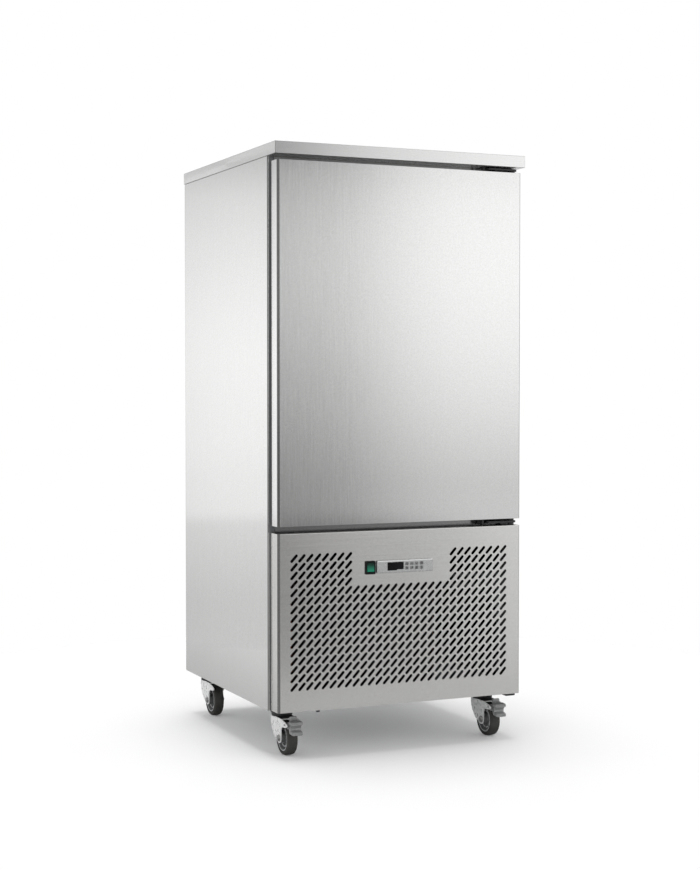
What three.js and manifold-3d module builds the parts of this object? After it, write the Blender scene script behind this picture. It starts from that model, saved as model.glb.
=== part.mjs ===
// Upright tray blast chiller on four swivel castors: stainless cabinet, one tall right-hung door,
// and a perforated service panel with the switch and the controller below it.
// Millimetres, +Z up, the door faces -Y. Origin: on the floor under the middle of the worktop.
import * as THREE from 'three';
import { mergeVertices } from 'three/addons/utils/BufferGeometryUtils.js';
import Module from 'manifold-3d';

const wasm = await Module();
wasm.setup();

// ---------- driving dimensions ----------

const WIDTH = 790;                  // worktop
const DEPTH = 800;
const HEIGHT = 1727;
const SKIN = 1.5;                   // stainless sheet
const FIT = 0.3;                    // gap left between pieces that touch

const TOP_THICKNESS = 34;           // folded edge of the worktop
const TOP_LIP = 40;                 // its fold under the edge
const SIDE_INSET = 3;               // cabinet side in from the worktop's edge
const FRONT_SETBACK = 69;           // cabinet front behind the worktop's edge
const FRONT_RETURN = 20;            // side sheets folded across the front
const CASTOR_HEIGHT = 135;

const FACE_SETBACK = 9;             // door and panel faces behind the worktop's edge
const FACE_INSET = 10;              // door and panel edges in from the worktop's sides
const FACE_RADIUS = 8;              // rolled vertical edges of the door and panel
const DOOR_TOP_GAP = 15;
const DOOR_PANEL_GAP = 20;
const DOOR_THICKNESS = 46;
const PANEL_TOP = 638;
const PANEL_FLOOR_GAP = 1.5;        // panel's lower edge above the cabinet's
const PANEL_SEAM = 4.5;             // panel's side folds to the cabinet front
const PANEL_FLANGE = 38;            // folds along the panel's top and bottom

const WALL = 60;                    // insulated wall
const CHAMBER_FLOOR_WALL = 59;      // chamber floor above the panel's top
const CHAMBER_ROOF_WALL = 54;       // chamber roof below the worktop's fold
const CHAMBER_COVE = 15;
const COMPARTMENT_FRAME = 25;       // frame left round the compartment's mouth
const COMPARTMENT_INSET = 42;       // its mouth in from the cabinet's sides
const FRAME_FOLD = 20;

const HINGE_INSET = 17;             // door and panel turn about one line, in from their edge
const HINGE_SETBACK = 32;           // that line behind the worktop's edge
const HINGE_PIN_RADIUS = 5;
const HINGE_PIN_REACH = 14;
const HINGE_BOSS_RADIUS = 9;
const HINGE_ARM = 6;
const HINGE_EYE_RADIUS = 14;
const HINGE_ARM_REACH = 100;        // arm, stop and foot plate start this far in from that edge
const HINGE_LEAF = 3;
const HINGE_LEAF_HEIGHT = 26;
const HINGE_STOP_REACH = 113;
const HINGE_STOP_WIDTH = 6;
const FOOT_HINGE_REACH = 39;

const SEAL_INSET = 19;              // door seal in from the door's sides
const SEAL_WIDTH = 22;
const SEAL_FROM_EDGE = 17;          // seal in from the door's top and bottom edges

// ---------- derived planes ----------

const EDGE_Y = -DEPTH / 2;
const BACK_Y = DEPTH / 2;
const SIDE_X = WIDTH / 2 - SIDE_INSET;
const FRONT_Y = EDGE_Y + FRONT_SETBACK;
const FACE_Y = EDGE_Y + FACE_SETBACK;
const FACE_X = WIDTH / 2 - FACE_INSET;
const SHELL_TOP = HEIGHT - TOP_THICKNESS;
const BASE_Z = CASTOR_HEIGHT;
const DOOR_TOP = SHELL_TOP - DOOR_TOP_GAP;
const DOOR_BOTTOM = PANEL_TOP + DOOR_PANEL_GAP;
const DOOR_BACK = FACE_Y + DOOR_THICKNESS;
const PANEL_BOTTOM = BASE_Z + PANEL_FLOOR_GAP;
const HINGE_Y = EDGE_Y + HINGE_SETBACK;
const HINGE_X = FACE_X - HINGE_INSET;
const COMPARTMENT_CEILING = PANEL_TOP + FIT;
const COMPARTMENT_SIDE = SIDE_X - COMPARTMENT_INSET;
const CHAMBER_BOTTOM = PANEL_TOP + CHAMBER_FLOOR_WALL;
const CHAMBER_TOP = SHELL_TOP - CHAMBER_ROOF_WALL;
const CHAMBER_MIDDLE = (CHAMBER_BOTTOM + CHAMBER_TOP) / 2;
const CHAMBER_X = SIDE_X - WALL;
const CHAMBER_BACK = BACK_Y - WALL;
const INSIDE_X = SIDE_X - SKIN - FIT;
const INSIDE_BACK = BACK_Y - SKIN - FIT;
const INSIDE_FRONT = FRONT_Y + SKIN + FIT;
const FLOOR_SHEET = 2.5;
const FLOOR_Z = BASE_Z + FLOOR_SHEET + FIT;

// ---------- materials ----------

function finish(color, roughness, metalness) {
  return new THREE.MeshStandardMaterial({ color, roughness, metalness });
}

const stainless = finish(0xc4c5c4, 0.34, 1.0);
const stainlessInside = finish(0xb2b4b4, 0.42, 1.0);
const galvanised = finish(0x9ea2a4, 0.5, 0.9);
const zinc = finish(0xc2c5c6, 0.36, 1.0);
const blackSteel = finish(0x1c1d1e, 0.5, 0.4);
const blackPlastic = finish(0x17181a, 0.45, 0.0);
const greyPlastic = finish(0x8b8e90, 0.5, 0.0);
const silverPlastic = finish(0xb4b6b5, 0.4, 0.2);
const greenLens = finish(0x0f7a55, 0.22, 0.0);
const smokedLens = finish(0x0c0d10, 0.12, 0.0);
const keyPlastic = finish(0x55585b, 0.55, 0.0);
const tyreRubber = finish(0x3b3b3a, 0.8, 0.0);
const sealRubber = finish(0x3a3c3e, 0.75, 0.0);
const foam = finish(0xd9cfa8, 0.95, 0.0);
const aluminiumFin = finish(0xb9bcbe, 0.45, 0.9);
const compressorPaint = finish(0x202224, 0.4, 0.2);

// ---------- solids ----------

function solid(geometry) {
  const bare = geometry.index ? geometry.toNonIndexed() : geometry.clone();
  bare.deleteAttribute('normal');
  bare.deleteAttribute('uv');
  const merged = mergeVertices(bare, 1e-4);
  return new wasm.Manifold(new wasm.Mesh({
    numProp: 3,
    vertProperties: new Float32Array(merged.attributes.position.array),
    triVerts: new Uint32Array(merged.index.array),
  }));
}

function join(first, ...others) {
  return others.reduce((sum, other) => sum.add(other), first);
}

function cut(body, ...tools) {
  return tools.reduce((rest, tool) => rest.subtract(tool), body);
}

function box([x0, x1], [y0, y1], [z0, z1]) {
  const geometry = new THREE.BoxGeometry(x1 - x0, y1 - y0, z1 - z0);
  geometry.translate((x0 + x1) / 2, (y0 + y1) / 2, (z0 + z1) / 2);
  return solid(geometry);
}

function outline(points) {
  return new THREE.Shape(points.map(([u, v]) => new THREE.Vector2(u, v)));
}

function extrude(shape, depth, curveSegments = 4) {
  return new THREE.ExtrudeGeometry(shape, { depth, curveSegments, bevelEnabled: false });
}

// A plan in X and Y carried up from z0 to z1.
function prismZ(shape, [z0, z1], curveSegments) {
  const geometry = extrude(shape, z1 - z0, curveSegments);
  geometry.translate(0, 0, z0);
  return solid(geometry);
}

// A front view in X and Z carried back from y0 to y1.
function prismY(shape, [y0, y1], curveSegments) {
  const geometry = extrude(shape, y1 - y0, curveSegments);
  geometry.rotateX(Math.PI / 2);
  geometry.translate(0, y1, 0);
  return solid(geometry);
}

// A side view in Y and Z carried across from x0 to x1.
function prismX(shape, [x0, x1], curveSegments) {
  const geometry = extrude(shape, x1 - x0, curveSegments);
  const [x, y, z] = [[1, 0, 0], [0, 1, 0], [0, 0, 1]].map((axis) => new THREE.Vector3(...axis));
  geometry.applyMatrix4(new THREE.Matrix4().makeBasis(y, z, x));
  geometry.translate(x0, 0, 0);
  return solid(geometry);
}

function roundedRect([u0, u1], [v0, v1], radius) {
  const shape = new THREE.Shape();
  shape.moveTo(u0 + radius, v0);
  shape.lineTo(u1 - radius, v0);
  shape.absarc(u1 - radius, v0 + radius, radius, -Math.PI / 2, 0);
  shape.lineTo(u1, v1 - radius);
  shape.absarc(u1 - radius, v1 - radius, radius, 0, Math.PI / 2);
  shape.lineTo(u0 + radius, v1);
  shape.absarc(u0 + radius, v1 - radius, radius, Math.PI / 2, Math.PI);
  shape.lineTo(u0, v0 + radius);
  shape.absarc(u0 + radius, v0 + radius, radius, Math.PI, 1.5 * Math.PI);
  return shape;
}

// A profile of [radius, height] pairs turned about Z. It starts and ends on the axis, or closes.
function turned(profile, segments) {
  const onAxis = profile[0][0] === 0;
  const points = (onAxis ? profile : [...profile, profile[0]]).map(([r, h]) => new THREE.Vector2(r, h));
  const geometry = new THREE.LatheGeometry(points, segments);
  geometry.rotateX(Math.PI / 2);
  return solid(geometry);
}

function rod(radius, [h0, h1], segments) {
  return turned([[0, h0], [radius, h0], [radius, h1], [0, h1]], segments);
}

function place(body, [x, y, z]) {
  return body.translate([x, y, z]);
}

const alongX = (body) => body.rotate([0, 90, 0]);
const alongY = (body) => body.rotate([-90, 0, 0]);

const unit = new THREE.Group();

function piece(name, body, material, group = unit) {
  const { vertProperties, triVerts, numProp } = body.getMesh();
  const positions = new Float32Array((vertProperties.length / numProp) * 3);
  for (let i = 0; i < positions.length / 3; i += 1) {
    positions.set(vertProperties.subarray(i * numProp, i * numProp + 3), i * 3);
  }
  const geometry = new THREE.BufferGeometry();
  geometry.setAttribute('position', new THREE.BufferAttribute(positions, 3));
  geometry.setIndex(new THREE.BufferAttribute(new Uint32Array(triVerts), 1));
  geometry.computeVertexNormals();
  const mesh = new THREE.Mesh(geometry, material);
  mesh.name = name;
  group.add(mesh);
  return mesh;
}

// ---------- worktop and outer shell ----------

// Sheet folded down all round and back under itself; the front fold reaches past the cabinet front.
function worktop() {
  const half = WIDTH / 2;
  const block = box([-half, half], [EDGE_Y, BACK_Y], [SHELL_TOP, HEIGHT]);
  const hollow = box([-half + SKIN, half - SKIN], [EDGE_Y + SKIN, BACK_Y - SKIN],
    [SHELL_TOP + SKIN, HEIGHT - SKIN]);
  const mouth = box([-half + TOP_LIP, half - TOP_LIP],
    [FRONT_Y + TOP_LIP, BACK_Y - TOP_LIP], [SHELL_TOP - 1, SHELL_TOP + 2 * SKIN]);
  return cut(block, hollow, mouth);
}

function sidePanel(side) {
  const sheet = [SIDE_X - SKIN, SIDE_X];
  const fold = [SIDE_X - FRONT_RETURN, SIDE_X];
  const mirrored = ([a, b]) => (side < 0 ? [-b, -a] : [a, b]);
  const height = [BASE_Z, SHELL_TOP - FIT];
  return join(
    box(mirrored(sheet), [FRONT_Y, INSIDE_BACK], height),
    box(mirrored(fold), [FRONT_Y, FRONT_Y + SKIN], height),
  );
}

const VENT_ROWS = 5;
const VENT_PITCH = 36;
const VENT_START = 250;
const VENT_HEIGHT = 8;
const VENT_SIDE = 260;
const VENT_MIDDLE = 25;
const CORD_HOLE_RADIUS = 11;
const CORD_HOLE_X = 300;
const CORD_HOLE_Z = 190;

function rearPanel() {
  const sheet = [BACK_Y - SKIN, BACK_Y];
  const through = [BACK_Y - 2 * SKIN, BACK_Y + SKIN];
  let body = box([-SIDE_X, SIDE_X], sheet, [BASE_Z, SHELL_TOP - FIT]);
  for (let row = 0; row < VENT_ROWS; row += 1) {
    const z = VENT_START + row * VENT_PITCH;
    for (const [a, b] of [[-VENT_SIDE, -VENT_MIDDLE], [VENT_MIDDLE, VENT_SIDE]]) {
      body = cut(body, box([a, b], through, [z, z + VENT_HEIGHT]));
    }
  }
  const cordHole = place(alongY(rod(CORD_HOLE_RADIUS, [0, 4 * SKIN], 8)),
    [CORD_HOLE_X, through[0] - SKIN, CORD_HOLE_Z]);
  return cut(body, cordHole);
}

const PAN_EDGE = 25;

function basePan() {
  const outer = box([-INSIDE_X, INSIDE_X], [INSIDE_FRONT, INSIDE_BACK], [BASE_Z, BASE_Z + PAN_EDGE]);
  const tray = box([-INSIDE_X + SKIN, INSIDE_X - SKIN],
    [INSIDE_FRONT + SKIN, INSIDE_BACK - SKIN], [BASE_Z + FLOOR_SHEET, BASE_Z + PAN_EDGE + 1]);
  return cut(outer, tray);
}

// Front frame: face sheet with the chamber's and the compartment's mouths, the fold round the
// lower mouth, and the sheet that closes the compartment under the insulation.
function frontFrame() {
  const faceX = SIDE_X - FRONT_RETURN - FIT;
  const face = box([-faceX, faceX], [FRONT_Y, FRONT_Y + SKIN], [BASE_Z, SHELL_TOP - FIT]);
  const chamber = box([-CHAMBER_X, CHAMBER_X], [FRONT_Y - 1, FRONT_Y + 2 * SKIN],
    [CHAMBER_BOTTOM, CHAMBER_TOP]);
  const mouthZ = [BASE_Z + PAN_EDGE + FIT, COMPARTMENT_CEILING - COMPARTMENT_FRAME];
  const fold = box([-COMPARTMENT_SIDE - SKIN, COMPARTMENT_SIDE + SKIN],
    [FRONT_Y, FRONT_Y + FRAME_FOLD], [mouthZ[0] + FIT, mouthZ[1] + SKIN]);
  const mouth = box([-COMPARTMENT_SIDE, COMPARTMENT_SIDE], [FRONT_Y - 1, FRONT_Y + FRAME_FOLD + 1],
    [mouthZ[0] + FIT + SKIN, mouthZ[1]]);
  const ceilingZ = [COMPARTMENT_CEILING, COMPARTMENT_CEILING + SKIN];
  const ceiling = join(
    box([-faceX, faceX], [FRONT_Y + SKIN / 2, INSIDE_BACK], ceilingZ),
    box([-INSIDE_X, INSIDE_X], [INSIDE_FRONT, INSIDE_BACK], ceilingZ),
  );
  return join(cut(join(face, fold), chamber, mouth), ceiling);
}

const LINER_OUTER = { x: CHAMBER_X + SKIN, back: CHAMBER_BACK + SKIN };

function chamberSpace(grow, front, back) {
  return prismY(roundedRect([-CHAMBER_X - grow, CHAMBER_X + grow],
    [CHAMBER_BOTTOM - grow, CHAMBER_TOP + grow], CHAMBER_COVE + grow), [front, back], 2);
}

function innerLiner() {
  return cut(
    chamberSpace(SKIN, INSIDE_FRONT, LINER_OUTER.back),
    chamberSpace(0, INSIDE_FRONT - 1, CHAMBER_BACK),
  );
}

function insulation() {
  const block = box([-INSIDE_X, INSIDE_X], [INSIDE_FRONT, INSIDE_BACK],
    [COMPARTMENT_CEILING + SKIN + FIT, SHELL_TOP - FIT]);
  const inLip = TOP_LIP + FIT;
  const plug = box([-WIDTH / 2 + inLip, WIDTH / 2 - inLip],
    [FRONT_Y + inLip, BACK_Y - inLip], [SHELL_TOP - 2, HEIGHT - SKIN - FIT]);
  return cut(join(block, plug), chamberSpace(SKIN + FIT, INSIDE_FRONT - 1, LINER_OUTER.back + FIT));
}

// ---------- hinges ----------

// Black hinge bracket: a leaf on the cabinet front, an arm forward round the pin, a stop block at
// the arm's inner end. Heights are the arm's; pins and bosses reach up and down as given.
function hingeBracket(armZ, leafZ, stopZ, ends) {
  const reach = HINGE_X + HINGE_EYE_RADIUS;
  const start = FACE_X - HINGE_ARM_REACH;
  const stop = FACE_X - HINGE_STOP_REACH;
  const leafFront = FRONT_Y - FIT - HINGE_LEAF;
  const arm = new THREE.Shape();
  arm.moveTo(start, FRONT_Y - FIT);
  arm.lineTo(start, HINGE_Y);
  arm.absarc(start + HINGE_EYE_RADIUS, HINGE_Y, HINGE_EYE_RADIUS, Math.PI, 1.5 * Math.PI);
  arm.lineTo(HINGE_X, HINGE_Y - HINGE_EYE_RADIUS);
  arm.absarc(HINGE_X, HINGE_Y, HINGE_EYE_RADIUS, -Math.PI / 2, 0);
  arm.lineTo(reach, FRONT_Y - FIT);
  let body = join(
    prismZ(arm, armZ, 3),
    box([stop, reach], [leafFront, FRONT_Y - FIT], leafZ),
    box([stop, stop + HINGE_STOP_WIDTH], [HINGE_Y, FRONT_Y - FIT], stopZ),
  );
  for (const { boss, pin } of ends) {
    const span = (from, to) => [Math.min(from, to), Math.max(from, to)];
    const middle = (armZ[0] + armZ[1]) / 2;
    body = join(body,
      place(rod(HINGE_BOSS_RADIUS, span(middle, boss), 10), [HINGE_X, HINGE_Y, 0]),
      place(rod(HINGE_PIN_RADIUS, span(middle, pin), 10), [HINGE_X, HINGE_Y, 0]));
  }
  return body;
}

function topHinge() {
  const armTop = SHELL_TOP - FIT - 3;
  return hingeBracket([armTop - HINGE_ARM, armTop],
    [SHELL_TOP - FIT - HINGE_LEAF_HEIGHT, SHELL_TOP - FIT],
    [DOOR_TOP + 2, SHELL_TOP - FIT],
    [{ boss: DOOR_TOP + FIT, pin: DOOR_TOP - HINGE_PIN_REACH }]);
}

function middleHinge() {
  const armBottom = PANEL_TOP + 7;
  return hingeBracket([armBottom, armBottom + HINGE_ARM],
    [PANEL_TOP + 3, PANEL_TOP + 3 + HINGE_LEAF_HEIGHT],
    [PANEL_TOP + 2, DOOR_BOTTOM - 2],
    [{ boss: DOOR_BOTTOM - FIT, pin: DOOR_BOTTOM + HINGE_PIN_REACH },
      { boss: PANEL_TOP + FIT, pin: PANEL_TOP - HINGE_PIN_REACH }]);
}

const FOOT_HINGE_BACK = 15;          // its plate runs this far under the floor pan

function footHinge() {
  const plate = new THREE.Shape();
  const start = FACE_X - FOOT_HINGE_REACH;
  const reach = HINGE_X + HINGE_EYE_RADIUS;
  plate.moveTo(start, FRONT_Y + FOOT_HINGE_BACK);
  plate.lineTo(start, HINGE_Y - HINGE_EYE_RADIUS);
  plate.lineTo(HINGE_X, HINGE_Y - HINGE_EYE_RADIUS);
  plate.absarc(HINGE_X, HINGE_Y, HINGE_EYE_RADIUS, -Math.PI / 2, 0);
  plate.lineTo(reach, FRONT_Y + FOOT_HINGE_BACK);
  const top = BASE_Z - FIT;
  return join(
    prismZ(plate, [top - HINGE_ARM, top], 3),
    place(rod(HINGE_BOSS_RADIUS, [top - 1, PANEL_BOTTOM - FIT], 10), [HINGE_X, HINGE_Y, 0]),
    place(rod(HINGE_PIN_RADIUS, [top - 1, PANEL_BOTTOM + HINGE_PIN_REACH], 10), [HINGE_X, HINGE_Y, 0]),
  );
}

function pinHole([z0, z1]) {
  return place(rod(HINGE_PIN_RADIUS + FIT, [z0, z1], 10), [HINGE_X, HINGE_Y, 0]);
}

// ---------- door ----------

// Plan of a face with rolled vertical edges; depth runs back from the face.
function facePlan(inset, back) {
  const x = FACE_X - inset;
  const y = FACE_Y + inset;
  const radius = FACE_RADIUS - inset;
  const plan = new THREE.Shape();
  plan.moveTo(-x, back);
  plan.lineTo(-x, y + radius);
  plan.absarc(-x + radius, y + radius, radius, Math.PI, 1.5 * Math.PI);
  plan.lineTo(x - radius, y);
  plan.absarc(x - radius, y + radius, radius, -Math.PI / 2, 0);
  plan.lineTo(x, back);
  return plan;
}

function doorSkin() {
  const pan = prismZ(facePlan(0, DOOR_BACK), [DOOR_BOTTOM, DOOR_TOP], 3);
  const hollow = prismZ(facePlan(SKIN, DOOR_BACK + 1), [DOOR_BOTTOM + SKIN, DOOR_TOP - SKIN], 3);
  return cut(pan, hollow, pinHole([DOOR_BOTTOM - 1, DOOR_BOTTOM + 3]), pinHole([DOOR_TOP - 3, DOOR_TOP + 1]));
}

const DOOR_LINER_Y = DOOR_BACK - SKIN - FIT;
const PLATEAU_INSET = 85;
const PLATEAU_RISE = 10;

function doorLiner() {
  const inset = SKIN + FIT;
  const x = FACE_X - inset;
  const [z0, z1] = [DOOR_BOTTOM + inset, DOOR_TOP - inset];
  const plateauFront = roundedRect([-x + PLATEAU_INSET, x - PLATEAU_INSET],
    [z0 + PLATEAU_INSET, z1 - PLATEAU_INSET], CHAMBER_COVE);
  const dish = roundedRect([-x + PLATEAU_INSET + SKIN, x - PLATEAU_INSET - SKIN],
    [z0 + PLATEAU_INSET + SKIN, z1 - PLATEAU_INSET - SKIN], CHAMBER_COVE - SKIN);
  return cut(
    join(
      box([-x, x], [DOOR_LINER_Y, DOOR_LINER_Y + SKIN], [z0, z1]),
      prismY(plateauFront, [DOOR_LINER_Y, DOOR_LINER_Y + PLATEAU_RISE], 2),
    ),
    prismY(dish, [DOOR_LINER_Y - 1, DOOR_LINER_Y + PLATEAU_RISE - SKIN], 2),
  );
}

function doorFoam() {
  const inset = SKIN + FIT;
  const z = [DOOR_BOTTOM + inset, DOOR_TOP - inset];
  const reach = HINGE_PIN_REACH + 2;
  return cut(prismZ(facePlan(inset, DOOR_LINER_Y - FIT), z, 3),
    pinHole([DOOR_BOTTOM, DOOR_BOTTOM + reach]), pinHole([DOOR_TOP - reach, DOOR_TOP]));
}

// Bellows seal seen in section: broad foot on the door, narrower lip on the cabinet front.
function doorSeal() {
  const foot = [DOOR_BACK, DOOR_BACK + 5];
  const lip = [DOOR_BACK + 5, FRONT_Y - FIT];
  const ring = (grow, depth) => {
    const x = FACE_X - SEAL_INSET - grow;
    const z = [DOOR_BOTTOM + SEAL_FROM_EDGE + grow, DOOR_TOP - SEAL_FROM_EDGE - grow];
    const width = SEAL_WIDTH - 2 * grow;
    return cut(box([-x, x], depth, z),
      box([-x + width, x - width], [depth[0] - 1, depth[1] + 1], [z[0] + width, z[1] - width]));
  };
  return join(ring(0, foot), ring(3, [foot[1] - 1, lip[1]]));
}

// ---------- service panel with its grille, switch and controller ----------

const SLOT_COLUMNS = 29;
const SLOT_ROWS = 16;
const SLOT_FROM_LEFT = 48.4;        // centres of the outer slots in from the panel's edges
const SLOT_FROM_RIGHT = 55.2;
const SLOT_FROM_TOP = 69.5;
const SLOT_FROM_BOTTOM = 70.5;
const SLOT_LENGTH = 28;
const SLOT_WIDTH = 7.2;
const SLOT_SLANT = 47;              // degrees from level, rising to the right
const CLEAR_ROWS = 4;               // rows broken off round the controls
const CLEAR_FROM = 8;               // first and last column left out of those rows
const CLEAR_TO = 20;

const SLOT_PITCH_X = (2 * FACE_X - SLOT_FROM_LEFT - SLOT_FROM_RIGHT) / (SLOT_COLUMNS - 1);
const SLOT_PITCH_Z = (PANEL_TOP - PANEL_BOTTOM - SLOT_FROM_TOP - SLOT_FROM_BOTTOM) / (SLOT_ROWS - 1);

function slot(x, z) {
  const angle = THREE.MathUtils.degToRad(SLOT_SLANT);
  const [along, across] = [SLOT_LENGTH / 2, SLOT_WIDTH / 2];
  const corners = [[-along, -across], [along, -across], [along, across], [-along, across]];
  return outline(corners.map(([u, v]) => [
    x + u * Math.cos(angle) - v * Math.sin(angle),
    z + u * Math.sin(angle) + v * Math.cos(angle),
  ]));
}

function grilleSlots(depth) {
  const slots = [];
  for (let row = 0; row < SLOT_ROWS; row += 1) {
    for (let column = 0; column < SLOT_COLUMNS; column += 1) {
      const clear = row < CLEAR_ROWS && column >= CLEAR_FROM && column <= CLEAR_TO;
      if (clear) continue;
      slots.push(slot(-FACE_X + SLOT_FROM_LEFT + column * SLOT_PITCH_X,
        PANEL_TOP - SLOT_FROM_TOP - row * SLOT_PITCH_Z));
    }
  }
  const geometry = extrude(slots, depth[1] - depth[0]);
  geometry.rotateX(Math.PI / 2);
  geometry.translate(0, depth[1], 0);
  return solid(geometry);
}

const SWITCH = { x: [-118, -88], z: [514, 552], proud: 5, rim: 2.5, depth: 40, wall: 1.2 };
const CONTROL = { x: [-83, 95], z: [515.5, 551.5], proud: 8, rim: 5, depth: 58, radius: 2 };

function inset([a, b], by) {
  return [a + by, b - by];
}

function servicePanel() {
  const back = FRONT_Y - PANEL_SEAM;
  const height = [PANEL_BOTTOM, PANEL_TOP];
  const skin = cut(prismZ(facePlan(0, back), height, 3),
    prismZ(facePlan(SKIN, back + 1), [height[0] - 1, height[1] + 1], 3));
  const flangePlan = facePlan(SKIN / 2, FACE_Y + PANEL_FLANGE);
  const opening = (part) => box(inset(part.x, part.rim - FIT), [FACE_Y - 1, FACE_Y + 2 * SKIN],
    inset(part.z, part.rim - FIT));
  const body = join(skin,
    prismZ(flangePlan, [height[0], height[0] + SKIN], 3),
    prismZ(flangePlan, [height[1] - SKIN, height[1]], 3));
  return cut(body, grilleSlots([FACE_Y - 1, FACE_Y + 2 * SKIN]), opening(SWITCH), opening(CONTROL),
    pinHole([height[0] - 1, height[0] + 3]), pinHole([height[1] - 3, height[1] + 1]));
}

const ROCKER_GAP = 0.5;
const ROCKER_TILT = 7;              // degrees either side of level

function switchHousing() {
  const { x, z, proud, rim, depth, wall } = SWITCH;
  const front = FACE_Y - proud;
  const bezel = prismY(roundedRect(x, z, 1.5), [front, FACE_Y - FIT], 2);
  const barrel = box(inset(x, rim), [FACE_Y - 2 * FIT, FACE_Y + depth], inset(z, rim));
  const well = box(inset(x, rim + wall), [front - 1, FACE_Y + depth / 2], inset(z, rim));
  const neck = box(inset(x, rim + wall), [front - 1, FACE_Y - FIT], inset(z, rim));
  return cut(join(bezel, barrel),
    cut(well, box(x, [FACE_Y - FIT, FACE_Y + depth], [z[0], z[0] + rim + wall])),
    neck);
}

// See-saw button, drawn level and turned to its rest position with its upper end pressed.
function rocker() {
  const { x, z, rim, wall, proud } = SWITCH;
  const halfHeight = (z[1] - z[0]) / 2 - rim - 2 * wall;
  const front = -proud - 1.5;
  const side = outline([[5, -halfHeight + 1], [8, -4], [8, 4], [5, halfHeight - 1],
    [front + 1.2, halfHeight], [front, 0], [front + 1.2, -halfHeight]]);
  const width = inset(x, rim + wall + ROCKER_GAP);
  const body = prismX(side, width).rotate([-ROCKER_TILT, 0, 0]);
  return place(body, [0, FACE_Y, (z[0] + z[1]) / 2]);
}

const KEY_COLUMNS = 4;
const KEY_ROWS = 2;
const KEY = { x: 9.8, z: 540.2, pitchX: 15.6, pitchZ: 12.2, width: 11, height: 8, proud: 0.7, depth: 5 };
const KEY_TRAVEL = 0.8;
const DISPLAY = { x: [-51.5, -0.5], z: [522.8, 546], step: [21, 2.4], depth: 2.4, proud: 0.3 };

function keyCentre(column, row) {
  return [KEY.x + column * KEY.pitchX, KEY.z - row * KEY.pitchZ];
}

function keyBlock(column, row, grow, depth) {
  const [x, z] = keyCentre(column, row);
  const half = [KEY.width / 2 + grow, KEY.height / 2 + grow];
  return box([x - half[0], x + half[0]], depth, [z - half[1], z + half[1]]);
}

const CONTROL_FRONT = FACE_Y - CONTROL.proud;

function displayShape(grow) {
  const [x0, x1] = [DISPLAY.x[0] - grow, DISPLAY.x[1] + grow];
  const [z0, z1] = [DISPLAY.z[0] - grow, DISPLAY.z[1] + grow];
  const [run, rise] = DISPLAY.step;
  return outline([[x0, z0], [x1 - run, z0], [x1 - run, z0 + rise], [x1, z0 + rise], [x1, z1], [x0, z1]]);
}

function controllerHousing() {
  const { x, z, rim, depth, radius } = CONTROL;
  const bezel = prismY(roundedRect(x, z, radius), [CONTROL_FRONT, FACE_Y - FIT], 2);
  const barrel = box(inset(x, rim), [FACE_Y - 2 * FIT, FACE_Y + depth], inset(z, rim));
  let body = cut(join(bezel, barrel),
    prismY(displayShape(FIT), [CONTROL_FRONT - 1, CONTROL_FRONT + DISPLAY.depth + FIT]));
  for (let row = 0; row < KEY_ROWS; row += 1) {
    for (let column = 0; column < KEY_COLUMNS; column += 1) {
      const well = [CONTROL_FRONT - 1, CONTROL_FRONT + KEY.depth + KEY_TRAVEL];
      body = cut(body, keyBlock(column, row, FIT, well));
    }
  }
  return body;
}

// ---------- inside the chamber ----------

const RACK_STAND = 29;              // guide faces off the liner, which leaves 606 for a 600 tray
const RACK_LEVELS = 15;
const RACK_FOOT = 43;               // first and last ledge from the chamber's floor and roof
const RACK_HEAD = 59;
const RACK_PITCH = (CHAMBER_TOP - CHAMBER_BOTTOM - RACK_FOOT - RACK_HEAD) / (RACK_LEVELS - 1);
const RACK_SHEET = 2;
const RACK_END = 3;                 // posts stop short of the sheet's ends
const RUNNER_SET = 21;              // guide sheet behind the cabinet's front
const RUNNER_BEHIND = 260;          // space behind it for the baffle, fans and coil
const RUNNER = { from: FRONT_Y + RUNNER_SET, to: CHAMBER_BACK - RUNNER_BEHIND, ledge: 24 };
const POST_WIDTH = 24;
const POST_Y = [RUNNER.from + 20, RUNNER.to - 20 - POST_WIDTH];

// Guide panel for the trays: an upright sheet with a folded ledge for each level, held off the
// liner by two box posts.
function trayRack(side) {
  const wall = CHAMBER_X - FIT;
  const face = CHAMBER_X - RACK_STAND;
  const [foot, head] = inset([CHAMBER_BOTTOM, CHAMBER_TOP], CHAMBER_COVE);
  const comb = [[face + RACK_SHEET, foot], [face + RACK_SHEET, head], [face, head]];
  for (let level = RACK_LEVELS - 1; level >= 0; level -= 1) {
    const z = CHAMBER_BOTTOM + RACK_FOOT + level * RACK_PITCH;
    comb.push([face, z], [face - RUNNER.ledge, z], [face - RUNNER.ledge, z - RACK_SHEET],
      [face, z - RACK_SHEET]);
  }
  comb.push([face, foot]);
  const sheet = prismY(outline(comb), [RUNNER.from, RUNNER.to]);
  const posts = POST_Y.map((y) => box([face + RACK_SHEET / 2, wall], [y, y + POST_WIDTH],
    inset([foot, head], RACK_END)));
  const rack = join(sheet, ...posts);
  return side < 0 ? rack.mirror([1, 0, 0]) : rack;
}

const BAFFLE_OFF_BACK = 228;
const BAFFLE_Y = CHAMBER_BACK - BAFFLE_OFF_BACK;
const BAFFLE_END = 60;              // open strip above and below the baffle
const FAN_RADIUS = 118;
const FAN_GAP = 6;
const FAN_COLLAR = 16;
const FAN_SPREAD = 180;             // fan centres above and below the chamber's middle
const FAN_Z = [CHAMBER_MIDDLE - FAN_SPREAD, CHAMBER_MIDDLE + FAN_SPREAD];
const MOTOR = { radius: 38, length: 55, arm: 8, arms: 3 };
const FAN_DEPTH = 24;
const FAN_HUB = 30;

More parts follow.
